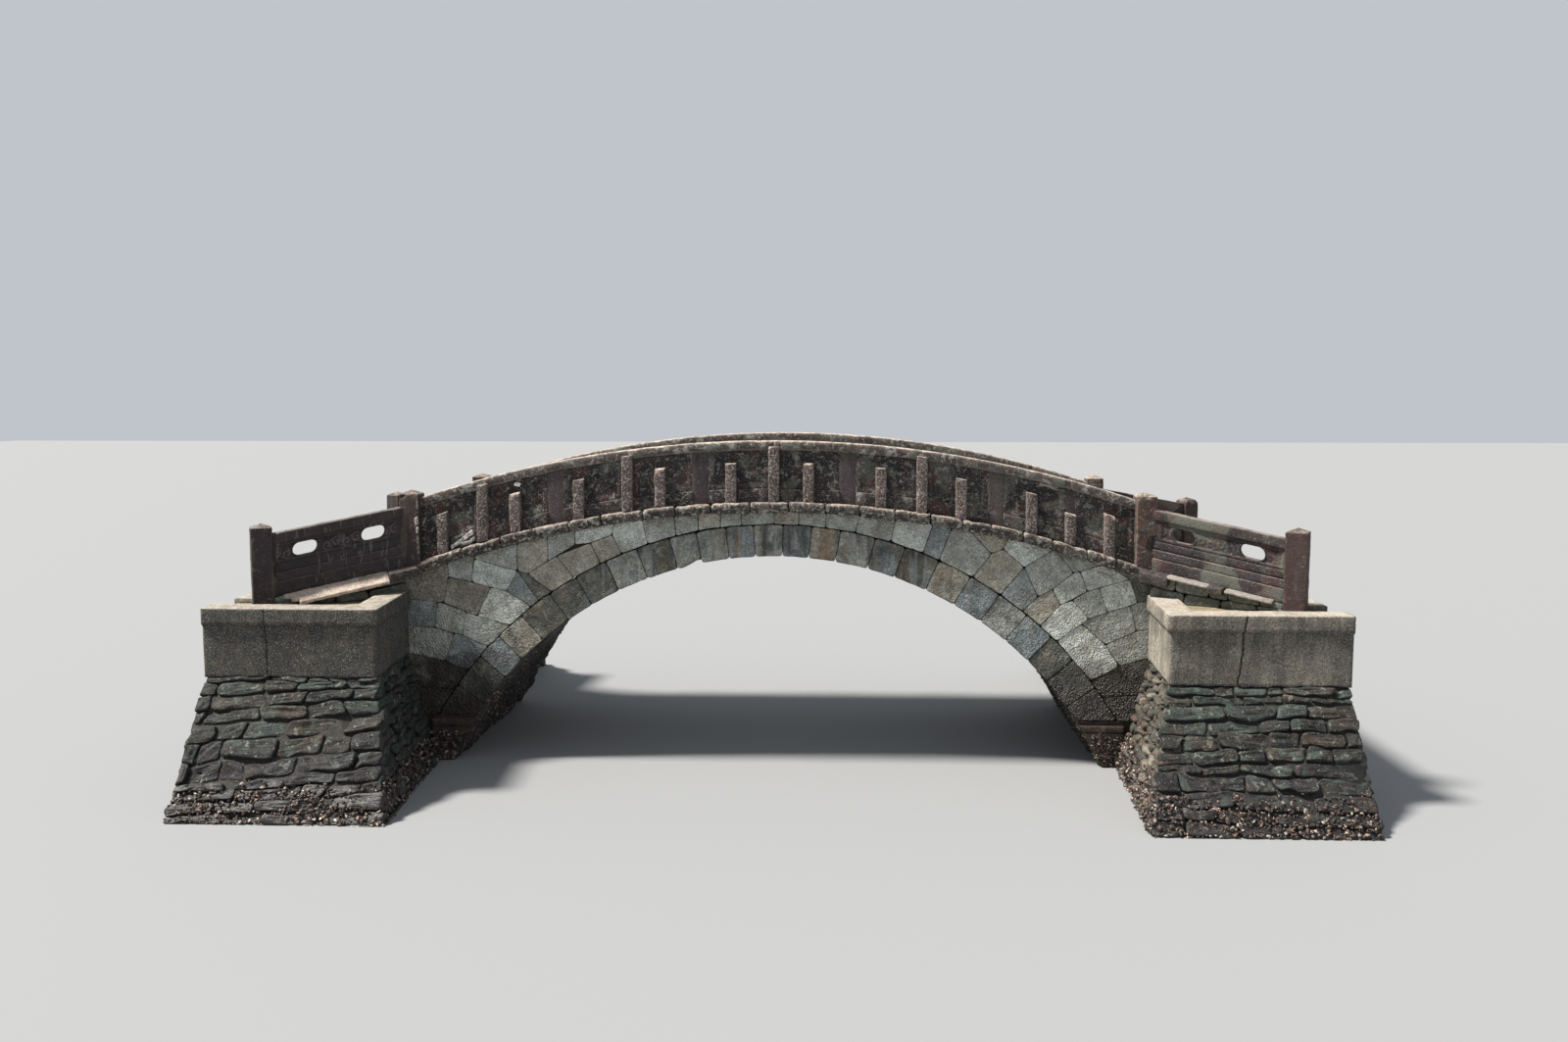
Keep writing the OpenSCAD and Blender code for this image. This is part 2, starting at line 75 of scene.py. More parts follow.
# a broad soft lamp from the upper left, and an even pale sky
SUN_POWER, SUN_WIDTH, SUN_COLOUR = 8.2, math.radians(9), (1.0, 0.96, 0.90)
SUN_TURN = (math.radians(6), math.radians(-33), 0)
SKY_COLOUR, SKY_POWER = (0.88, 0.93, 1.0, 1), 0.60
sun_data = bpy.data.lights.new("soft_sun", "SUN")
sun_data.energy, sun_data.angle, sun_data.color = SUN_POWER, SUN_WIDTH, SUN_COLOUR
placed("soft_sun", sun_data).rotation_euler = SUN_TURN
world = bpy.data.worlds.new("sky")
world.use_nodes = True
world.node_tree.nodes["Background"].inputs["Color"].default_value = SKY_COLOUR
world.node_tree.nodes["Background"].inputs["Strength"].default_value = SKY_POWER
scene.world = world
scene.view_settings.view_transform = "Standard"

# Arch rings: on each face a ring of 25 split and dressed sandstone blocks, about 0.48 m
# deep, laid almost dry. Each stone has its own width and tone; one has lost a corner.
SPAN, RISE = 9.69, 3.12
RING_DEPTH, RING_FOOT = 0.48, 0.575
HALF_WIDTH, FACE_DEPTH = 1.95, 0.45
SPRINGER_HEIGHT = 0.70
# the near face is the one in the photograph
SIDES = ((-1, "near"), (1, "far"))


def arc_radius(half_chord, rise):
    """Radius of an arc over a chord: the half chord and the rise squared and added, over twice the rise."""
    return (half_chord ** 2 + rise ** 2) / (2 * rise)


ARCH_R = arc_radius(SPAN / 2, RISE)
ARCH_Z = RISE - ARCH_R
BACK_R = arc_radius(SPAN / 2 + RING_FOOT, RISE + RING_DEPTH)
BACK_Z = RISE + RING_DEPTH - BACK_R


def back_height(x):
    """Height of the ring's back over a point of the bridge: a circle through the crown and both feet."""
    return BACK_Z + np.sqrt(BACK_R ** 2 - np.minimum(np.abs(x), BACK_R - 0.01) ** 2)


def back_radius(angle):
    """Distance of the ring's back from the centre of the arch, where a ray meets the back's own circle."""
    shift = ARCH_Z - BACK_Z
    return -shift * np.cos(angle) + np.sqrt(BACK_R ** 2 - (shift * np.sin(angle)) ** 2)


# random heights at the corners of a lattice
HASHES = np.random.default_rng(11).uniform(-1, 1, 8192)


def rough(points, size, octaves=3):
    """Smooth random relief from -1 to 1: values hashed at the corners of a lattice of the given size, blended
    by a smoothstep, in octaves of half the size and half the height."""
    total, height, whole = 0.0, 1.0, 0.0
    for octave in range(octaves):
        q = np.asarray(points) / size * 2 ** octave + 37.7 * octave
        cell = np.floor(q).astype(np.int64)
        f = q - cell
        f = f * f * (3 - 2 * f)
        value = 0.0
        for corner in range(8):
            step = np.array([corner & 1, corner >> 1 & 1, corner >> 2 & 1])
            c = (cell + step) * np.array([73856093, 19349663, 83492791])
            weight = np.prod(np.where(step == 1, f, 1 - f), axis=-1)
            value = value + weight * HASHES[(c[..., 0] ^ c[..., 1] ^ c[..., 2]) & 8191]
        total, whole, height = total + height * value, whole + height, height / 2
    return total / whole


def walk(corners, count):
    """A closed outline walked in steps: each side gets steps by its length, and its corners are kept."""
    corners = np.asarray(corners, float)
    area = np.sum(corners[:, 0] * np.roll(corners[:, 1], -1) - corners[:, 1] * np.roll(corners[:, 0], -1))
    if area < 0:
        corners = corners[::-1]
    sides = np.roll(corners, -1, 0) - corners
    length = np.hypot(*sides.T)
    share = np.maximum(1, np.floor(length / length.sum() * count)).astype(int)
    while share.sum() != count:
        gap = length / share
        if share.sum() < count:
            share[np.argmax(gap)] += 1
        else:
            share[np.argmin(np.where(share > 1, gap, 9))] -= 1
    return np.concatenate([c + s * (np.arange(n) / n)[:, None] for c, s, n in zip(corners, sides, share)])


def net(steps, strides):
    """Faces between rings of points round a centre, up to a last point behind them. A ring with a stride of 2
    or 4 uses every second or fourth of its points, because it needs fewer away from the stone's edge. Returns
    quads, triangles and the numbers of the points in use."""
    def at(ring, column):
        """Number of a point in a ring, where the last column meets the first."""
        return 1 + ring * steps + column % steps
    behind = 1 + len(strides) * steps
    first, last = np.arange(0, steps, strides[0]), np.arange(0, steps, strides[-1])
    end = len(strides) - 1
    quads = []
    fans = [np.stack([0 * first, at(0, first), at(0, first + strides[0])], -1),
            np.stack([0 * last + behind, at(end, last + strides[-1]), at(end, last)], -1)]
    for r in range(end):
        wide, fine = max(strides[r:r + 2]), min(strides[r:r + 2])
        n = np.arange(0, steps, wide)
        a, b, c, d = at(r, n), at(r + 1, n), at(r + 1, n + wide), at(r, n + wide)
        if wide == fine:
            quads.append(np.stack([a, b, c, d], -1))
        elif strides[r] == wide:
            middle = at(r + 1, n + fine)
            fans += [np.stack(t, -1) for t in ((a, b, middle), (a, middle, d), (d, middle, c))]
        else:
            middle = at(r, n + fine)
            fans += [np.stack(t, -1) for t in ((a, b, middle), (middle, b, c), (middle, c, d))]
    quads, fans = np.concatenate(quads), np.concatenate(fans)
    used = np.unique(np.concatenate([quads.ravel(), fans.ravel()]))
    return np.searchsorted(used, quads), np.searchsorted(used, fans), used


def face_stones(outlines, place, depth, joint=0.008, round_edge=0.014, relief=0.004, relief_size=0.12,
                wander=0.004, wander_size=0.11, set_out=0.003, tip=0.012, soften=1, layered=0.0, steps=40,
                seed=1, inner=4, rims=4):
    """Stones seen by one face: rings of points step in from each outline to its centre. The face bulges by
    a quarter circle along its edge and by random relief, and straight sides run back to the depth. Joints
    grow and shrink by chance along each stone. Layered relief runs along the stone's long side, as in slate.
    place(u, v, out) puts face coordinates and a distance out of the face into space."""
    rng = np.random.default_rng(seed)
    count = len(outlines)
    line = np.stack([walk(o, steps) for o in outlines])
    flat = np.concatenate([line, np.zeros((count, steps, 1))], -1)
    line = line + wander * np.stack([rough(flat + shift, wander_size, 2) for shift in (5.1, 9.7)], -1)
    for _ in range(soften):
        line = (np.roll(line, 1, 1) + 2 * line + np.roll(line, -1, 1)) / 4
    own = rng.uniform(0, 60, (count, 1, 1))
    flat[..., 2] = own[..., 0]
    joint = joint * rng.uniform(0.3, 1.7, (count, 1)) * (1 + 0.9 * rough(flat, 0.2, 2))
    centre = line.mean(1, keepdims=True)
    spoke = line - centre
    along = np.roll(line, -1, 1) - np.roll(line, 1, 1)
    along /= np.linalg.norm(along, axis=-1, keepdims=True)
    reach = np.maximum(np.abs(spoke[..., 0] * along[..., 1] - spoke[..., 1] * along[..., 0]), 0.02)
    edge = round_edge * np.array([0, 0.2, 0.9, 2.2] if rims == 4 else [0, 0.35, 1.3])
    limit = np.linspace(0.5, 0.82, rims)[:, None, None]
    ring = 1 - np.minimum((joint / 2 + edge[:, None, None]) / reach, limit)
    inward = ring[-1] * np.linspace(1, 0, inner + 2)[1:-1, None, None]
    ring = np.concatenate([ring, inward])[::-1].transpose(1, 0, 2)
    uv = centre[:, None] + ring[..., None] * spoke[:, None]
    gap = np.concatenate([edge, np.full(inner, 9.0)])[::-1]
    fall = np.where(gap < round_edge, 1 - np.sqrt(np.maximum(0, 1 - (1 - gap / round_edge) ** 2)), 0)
    here = np.concatenate([uv, np.broadcast_to(own, uv.shape[:-1])[..., None]], -1)
    lean = rng.normal(0, tip, (count, 2))
    tilt = ((uv - centre[:, None]) * lean[:, None, None]).sum(-1)
    out = rng.uniform(-set_out, set_out, (count, 1, 1)) + tilt - round_edge * fall[None, :, None]
    out = out + relief * rough(here, relief_size, 4) * (0.35 + 0.65 * (1 - fall))[None, :, None]
    spread = np.einsum("nki,nkj->nij", spoke, spoke)
    turn = 0.5 * np.arctan2(2 * spread[:, 0, 1], spread[:, 0, 0] - spread[:, 1, 1])[:, None]

    def along_stone(u, v):
        """A place on the stone as its distance along and across the stone's long side."""
        du, dv = u - centre[:, :, 0], v - centre[:, :, 1]
        return du * np.cos(turn) + dv * np.sin(turn), dv * np.cos(turn) - du * np.sin(turn)
    if layered:
        long, across = along_stone(*uv.reshape(count, -1, 2).transpose(2, 0, 1))
        layer = rough(np.stack([0.16 * long, across, 0.2 * own[..., 0] + 0 * long], -1), 0.045, 3)
        out = out + layered * np.tanh(3 * layer).reshape(out.shape) * (1 - fall)[None, :, None]
    sides = [np.stack([*uv[:, -1].transpose(2, 0, 1), out[:, -1] - depth * k], -1) for k in (0.3, 1.0)]
    first, last = [np.concatenate([centre[:, 0], end[:, None]], -1)[:, None]
                   for end in (out[:, 0].mean(1), np.full(count, -depth))]
    local = np.concatenate([first, np.concatenate([uv, out[..., None]], -1).reshape(count, -1, 3),
                            np.stack(sides, 1).reshape(count, -1, 3), last], 1)
    quads, fans, used = net(steps, [4] * (inner // 2) + [2] * (inner - inner // 2) + [1] * rims + [2, 4])
    local, size = local[:, used], len(used)
    shift = (np.arange(count) * size)[:, None, None]
    worn = np.concatenate([[0], np.repeat(np.clip(1 - gap / (2.2 * round_edge), 0, 1), steps),
                           np.ones(len(sides) * steps + 1)])[used]
    long, across = along_stone(local[..., 0], local[..., 1])
    long_side = np.stack([long, across, own[..., 0] + 0 * long], -1)
    return {"points": place(*local.transpose(2, 0, 1)).reshape(-1, 3), "each": size,
            "long_side": long_side.reshape(-1, 3), "quads": (quads + shift).reshape(-1, 4),
            "fans": (fans + shift).reshape(-1, 3), "worn": np.tile(worn, count)}


def outward(shape):
    """A shape's quads and triangles, wound so that the volume they enclose is positive: a shape that was
    mirrored into its place has them turned round."""
    points = shape["points"]
    quads, fans = shape.get("quads", np.zeros((0, 4), int)), shape.get("fans", np.zeros((0, 3), int))
    volume = sum(np.einsum("ij,ij->", points[a], np.cross(points[b], points[c]))
                 for a, b, c in (quads.T[:3], quads.T[[0, 2, 3]], fans.T))
    return (quads[:, ::-1], fans[:, ::-1]) if volume < 0 else (quads, fans)


def make_piece(name, shape, finish, node=None):
    """Puts a shape's arrays into a mesh, with its tint, its nearness to an edge and its long side kept as
    attributes, and puts the piece in the place of its node."""
    points, (quads, fans) = shape["points"], outward(shape)
    mesh = bpy.data.meshes.new(name)
    mesh.vertices.add(len(points))
    mesh.vertices.foreach_set("co", points.astype(np.float32).ravel())
    mesh.loops.add(quads.size + fans.size)
    mesh.loops.foreach_set("vertex_index", np.concatenate([quads.ravel(), fans.ravel()]).astype(np.int32))
    mesh.polygons.add(len(quads) + len(fans))
    starts = np.concatenate([np.arange(len(quads)) * 4, quads.size + np.arange(len(fans)) * 3])
    mesh.polygons.foreach_set("loop_start", starts.astype(np.int32))
    mesh.polygons.foreach_set("use_smooth", np.ones(len(starts), bool))
    mesh.update(calc_edges=True)
    mesh.validate()
    tint = np.ones((len(points), 4))
    tint[:, :3] = shape["tint"]
    for key, kind, field, value in (("tint", "FLOAT_COLOR", "color", tint),
                                    ("worn", "FLOAT", "value", shape.get("worn", np.zeros(len(points)))),
                                    ("long_side", "FLOAT_VECTOR", "vector", shape.get("long_side", points))):
        mesh.attributes.new(key, kind, "POINT").data.foreach_set(field, np.asarray(value, np.float32).ravel())
    mesh.materials.append(finish)
    piece = placed(name, mesh)
    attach(piece, "root")
    if node:
        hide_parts(node)


def joined(shapes):
    """Several shapes as one: their arrays one after another, with the indices moved on."""
    total, out = 0, {"points": [], "quads": [], "fans": [], "worn": [], "tint": [], "long_side": []}
    for s in shapes:
        size, (quads, fans) = len(s["points"]), outward(s)
        for key, value in (("points", s["points"]), ("worn", s.get("worn", np.zeros(size))),
                           ("long_side", s.get("long_side", s["points"])),
                           ("tint", np.broadcast_to(s["tint"], (size, 3))),
                           ("quads", quads + total), ("fans", fans + total)):
            out[key].append(value)
        total += size
    return {key: np.concatenate(value) for key, value in out.items()}


def tinted(stones, tones):
    """Gives each of the stones that face_stones made its own tint."""
    return dict(stones, tint=np.repeat(tones, stones["each"], 0))


def tone(red, green, blue):
    """A colour as seen on a screen, 0 to 255, as the linear value that a shader takes."""
    return np.array([(c / 255) ** 2.2 for c in (red, green, blue)])


def add(tree, kind, inputs=None, **settings):
    """A shader node with its settings; an input is a plain value or another node's socket."""
    node = tree.nodes.new(kind)
    for key, value in settings.items():
        setattr(node, key, value)
    for key, value in (inputs or {}).items():
        if isinstance(value, bpy.types.NodeSocket):
            tree.links.new(value, node.inputs[key])
        else:
            node.inputs[key].default_value = value
    return node


def blend(tree, factor, below, above, mode="MIX"):
    """One colour over another."""
    below, above = [c if isinstance(c, bpy.types.NodeSocket) else (*c, 1) for c in (below, above)]
    inputs = {0: factor, 6: below, 7: above}
    return add(tree, "ShaderNodeMix", inputs, data_type="RGBA", blend_type=mode).outputs[2]


def times(tree, a, b, how="MULTIPLY"):
    """Two values multiplied, or put together in another way."""
    return add(tree, "ShaderNodeMath", {0: a, 1: b}, operation=how).outputs[0]


def distance_from(tree, value, at=None):
    """How far a value is from 0, or from a given one."""
    if at is not None:
        value = times(tree, value, -at, "ADD")
    return add(tree, "ShaderNodeMath", {0: value}, operation="ABSOLUTE").outputs[0]


def axis(tree, vector, letter):
    """One of a vector's three parts."""
    return add(tree, "ShaderNodeSeparateXYZ", {0: vector}).outputs[letter]


def grain(tree, where, scale, detail=4.0, warp=0.0, stretch=None):
    """Noise on the object's own coordinates; stretch squeezes it along the axes."""
    if stretch:
        where = add(tree, "ShaderNodeMapping", {"Vector": where, "Scale": stretch}).outputs[0]
    return add(tree, "ShaderNodeTexNoise",
               {"Vector": where, "Scale": scale, "Detail": detail, "Distortion": warp}).outputs["Fac"]


def between(tree, value, low, high, start=0.0, end=1.0):
    """A value that goes smoothly from start to end while another goes from low to high."""
    return add(tree, "ShaderNodeMapRange", {0: value, 1: low, 2: high, 3: start, 4: end},
               interpolation_type="SMOOTHSTEP").outputs[0]


def stone_finish(name, layers, mottle=0.5, pits=0.3, edge=None, edge_amount=0.6, wet_line=None, wet=None,
                 bump=1.0, speckle=0.25, top=None, top_amount=0.0, top_patchy=0.75, strokes=0.0, bedding=0.0,
                 pebbles=0.0, pecked=0.0, crown=None, runs=()):
    """Weathered stone. The piece's own tint is mottled, and layers of dirt, lichen or rust lie over it in
    ragged patches, each given as colour, scale, level, softness, amount and stretch, if any. Then come pits,
    pale specks, dark joints, paler upper faces, partly bleached and partly painted highlight, and a wet foot.
    Strokes are the chisel's marks and bedding the layers of the stone, both along the stone's own long side;
    pecked is the point's dimples and pebbles are the grit of old concrete. Stains that run down fade away
    from the crown between two distances, where crown gives them. Single runs stand at their own places along
    the bridge, with a half width, a colour and an amount."""
    finish = bpy.data.materials.new(name)
    finish.use_nodes = True
    tree = finish.node_tree
    shader = tree.nodes["Principled BSDF"]
    where = add(tree, "ShaderNodeTexCoord").outputs["Object"]
    tint, worn, own_side = [add(tree, "ShaderNodeAttribute", attribute_name=key).outputs[kind]
                            for key, kind in (("tint", "Color"), ("worn", "Fac"), ("long_side", "Vector"))]
    broad, middle = grain(tree, where, 2.2, 5, 0.6), grain(tree, where, 9.0, 6, 0.4)
    small, fine = grain(tree, where, 27.0, 5, 0.5), grain(tree, where, 75.0, 4)
    value = times(tree, between(tree, small, 0.34, 0.66, 1 - 0.5 * mottle, 1 + 0.45 * mottle),
                  between(tree, middle, 0.32, 0.68, 1 - 0.3 * mottle, 1 + 0.3 * mottle))
    value = times(tree, value, between(tree, fine, 0.35, 0.7, 1.1, 0.75))
    relief = times(tree, times(tree, small, 0.7), times(tree, fine, 0.3), "ADD")
    if pecked:
        dimples = add(tree, "ShaderNodeTexVoronoi", {"Vector": where, "Scale": 36.0, "Randomness": 1.0})
        hollow = times(tree, dimples.outputs["Distance"], between(tree, middle, 0.35, 0.6, 0.4, 1.2))
        relief = times(tree, relief, times(tree, hollow, pecked), "ADD")
    if crown:
        near_crown = between(tree, distance_from(tree, axis(tree, where, "X")), *crown, 1.0, 0.2)
    if bedding:
        leaves = grain(tree, own_side, 1.0, 5, 0.6, (3.0, 34.0, 1.0))
        value = times(tree, value, between(tree, leaves, 0.36, 0.64, 1 - 0.6 * bedding, 1 + 0.7 * bedding))
        relief = times(tree, relief, leaves, "ADD")
    if strokes:
        cuts = grain(tree, own_side, 1.0, 3, 0.2, (16.0, 70.0, 1.0))
        value = times(tree, value, between(tree, cuts, 0.35, 0.6, 1 - 0.3 * strokes, 1.0))
        relief = times(tree, relief, times(tree, cuts, 0.6 * strokes), "ADD")
    pit = between(tree, grain(tree, where, 42.0, 3, 0.3), 0.30, 0.40, 1 - 0.7 * pits, 1)
    value = times(tree, value, pit)
    colour = blend(tree, 1.0, tint, value, "MULTIPLY")
    if pebbles:
        grit = add(tree, "ShaderNodeTexVoronoi", {"Vector": where, "Scale": 62.0, "Randomness": 1.0})
        stone = times(tree, between(tree, grit.outputs["Distance"], 0.22, 0.42, 1.0, 0.0),
                      between(tree, middle, 0.36, 0.56, 0.25, 1.0))
        own_value = axis(tree, grit.outputs["Color"], "X")
        pebble = blend(tree, between(tree, own_value, 0.1, 0.95), tone(58, 54, 50), tone(168, 158, 142))
        colour = blend(tree, times(tree, stone, pebbles), colour, pebble)
        relief = times(tree, relief, times(tree, stone, 0.8), "ADD")
    for layer, scale, level, soft, amount, *stretch in layers:
        cover = grain(tree, where, scale, 6, 0.7, *stretch)
        cover = between(tree, cover, level - soft, level + soft, 0, amount)
        if crown and DOWN in stretch:
            cover = times(tree, cover, near_crown)
        colour = blend(tree, cover, colour, blend(tree, 0.35, tone(*layer), colour))
    for at, half_width, stain, amount in runs:
        off_run = distance_from(tree, axis(tree, where, "X"), at)
        wavering = times(tree, off_run, between(tree, middle, 0.3, 0.7, -0.06, 0.06), "ADD")
        cover = between(tree, wavering, 0.0, half_width, amount, 0.0)
        streaks = between(tree, grain(tree, where, 14.0, 5, 0.5, DOWN), 0.36, 0.58, 0.3, 1.0)
        colour = blend(tree, times(tree, cover, streaks), colour, tone(*stain))
    dots = between(tree, grain(tree, where, 66.0, 2), 0.65, 0.69, 0, speckle)
    colour = blend(tree, dots, colour, (0.46, 0.45, 0.42))
    # paler upper faces: partly bleached by the weather, partly painted highlight where light falls from above
    if top:
        up = axis(tree, add(tree, "ShaderNodeNewGeometry").outputs["Normal"], "Z")
        facing = times(tree, between(tree, up, 0.35, 0.85),
                       between(tree, small, 0.30, 0.55, 1 - top_patchy, 1.0))
        facing = times(tree, facing, between(tree, middle, 0.36, 0.60, 1 - top_patchy, 1.0))
        colour = blend(tree, times(tree, facing, top_amount), colour, tone(*top))
    if edge:
        near_edge = times(tree, times(tree, between(tree, worn, 0.35, 1.0), edge_amount),
                          between(tree, middle, 0.3, 0.6, 0.5, 1.0))
        colour = blend(tree, near_edge, colour, tone(*edge))
    rough_value = between(tree, middle, 0.2, 0.8, 0.72, 0.95)
    if wet_line:
        low, high, amount = wet_line
        ragged = times(tree, axis(tree, where, "Z"), between(tree, broad, 0.3, 0.7, -0.22, 0.22), "ADD")
        damp = between(tree, ragged, low, high, 1.0, 0.0)
        colour = blend(tree, times(tree, damp, amount), colour, tone(*wet))
        rough_value = add(tree, "ShaderNodeMix", {0: damp, 2: rough_value, 3: 0.5},
                          data_type="FLOAT").outputs[0]
    tree.links.new(colour, shader.inputs["Base Color"])
    tree.links.new(rough_value, shader.inputs["Roughness"])
    depth = 0.014 + 0.012 * pecked
    raised = add(tree, "ShaderNodeBump", {"Strength": bump, "Distance": depth, "Height": relief})
    tree.links.new(raised.outputs[0], shader.inputs["Normal"])
    return finish


# grey green, blue grey, buff, pale green, brown, dark, and the stained brown of the feet
STONE_TONES = {"g": tone(158, 161, 153), "b": tone(134, 142, 143), "u": tone(162, 157, 142),
               "p": tone(182, 186, 178), "r": tone(134, 129, 118), "d": tone(96, 97, 90),
               "t": tone(64, 60, 53)}
# noise drawn out into runs down the stone
DOWN = (1.0, 1.0, 0.10)

# joints between the stones, in degrees from the crown, as the photograph shows them
ring_joints = np.radians([-60.2, -54.8, -49.3, -45.2, -40.5, -35.2, -30.6, -25.6, -20.6, -15.5, -11.5, -7.1,
                          -3.0, 1.3, 5.5, 9.7, 14.9, 19.4, 24.7, 29.8, 34.7, 39.7, 44.5, 49.0, 54.3, 60.2])
ring_tones = "tdbudddgdggbgbugbdubgbddd"
CHIPPED_STONE, BACK_JOINT, ARC_POINTS = 9, 0.011, 5
CHIP = np.array([0, 0, 0.02, 0.05, 0.085])


def ring_outline(a, b, chipped):
    """A voussoir: two radial joints, with the arch's arc below and the back's arc above. The lowest pair is
    cut level where it sits on the springers, and a chipped one has its lower corner broken away."""
    t = np.linspace(a, b, ARC_POINTS)
    low, high = ARCH_R + 0 * t, back_radius(t) - BACK_JOINT
    if chipped:
        low = low + CHIP
    under, over = [np.stack([r * np.sin(t), ARCH_Z + r * np.cos(t)], -1) for r in (low, high)]
    outline = np.concatenate([under, over[::-1]])
    outline[:, 1] = np.maximum(outline[:, 1], SPRINGER_HEIGHT + 0.002)
    return outline


def on_face(side):
    """Face coordinates into space: u along the bridge, v up, and out of the wall. The far face is turned
    round."""
    def place(u, v, out):
        """Across the bridge: half its width and the way out, on the face's own side."""
        return np.stack([-side * u, side * (HALF_WIDTH + out), v], -1)
    return place


ring_stone = stone_finish("ring_stone", [
    ((58, 57, 52), 2.6, 0.53, 0.07, 0.8), ((150, 132, 104), 4.4, 0.60, 0.05, 0.35),
    ((188, 191, 184), 7.0, 0.60, 0.05, 0.40), ((100, 82, 58), 5.0, 0.58, 0.05, 0.55, DOWN),
    ((44, 42, 38), 7.0, 0.59, 0.05, 0.60, DOWN), ((176, 184, 186), 6.2, 0.60, 0.05, 0.50, DOWN)],
    mottle=0.55, pits=0.5, edge=(34, 32, 29), edge_amount=0.6, wet_line=(0.75, 1.9, 0.85), wet=(38, 33, 27),
    strokes=0.5, pecked=1.2, crown=(1.6, 3.4),
    runs=[(0.76, 0.15, (136, 106, 78), 0.7), (1.02, 0.07, (116, 94, 70), 0.5),
          (-0.55, 0.10, (120, 98, 72), 0.5), (-0.13, 0.10, (52, 52, 50), 0.7),
          (0.42, 0.12, (60, 60, 58), 0.6), (1.60, 0.14, (58, 58, 55), 0.6)])
for side, row in SIDES:
    node = row + "_arch_ring"
    outlines = [ring_outline(a, b, i == CHIPPED_STONE)
                for i, (a, b) in enumerate(zip(ring_joints[:-1], ring_joints[1:]))]
    shape = face_stones(outlines, on_face(side), FACE_DEPTH, joint=0.004, round_edge=0.010, relief=0.011,
                        relief_size=0.2, wander=0.008, set_out=0.007, seed=3 - side, steps=44, inner=7)
    shape = tinted(shape, [STONE_TONES[k] for k in ring_tones])
    make_piece(node + "_stones", shape, ring_stone, node)

# Spandrel walls: polygonal sandstone blocks fitted between the ring and the string
# course. They follow the arch near the ring and turn level towards the ends.
CROWN_COVER, CAMBER, POST_MARGIN = 0.33, 0.95, 0.54
POST_X = SPAN / 2 + POST_MARGIN
PIER_WIDTH = 0.29
BODY_X = POST_X + PIER_WIDTH / 2
ROAD_CROWN = RISE + RING_DEPTH + CROWN_COVER
ROAD_R = arc_radius(POST_X, CAMBER)
ROAD_Z = ROAD_CROWN - ROAD_R
STRING_HEIGHT, STRING_OUT = 0.16, 0.14


def road_height(x, above=0.0):
    """Height of a line that runs level with the cambered roadway, a distance above it."""
    return ROAD_Z + np.sqrt((ROAD_R + above) ** 2 - np.asarray(x) ** 2)


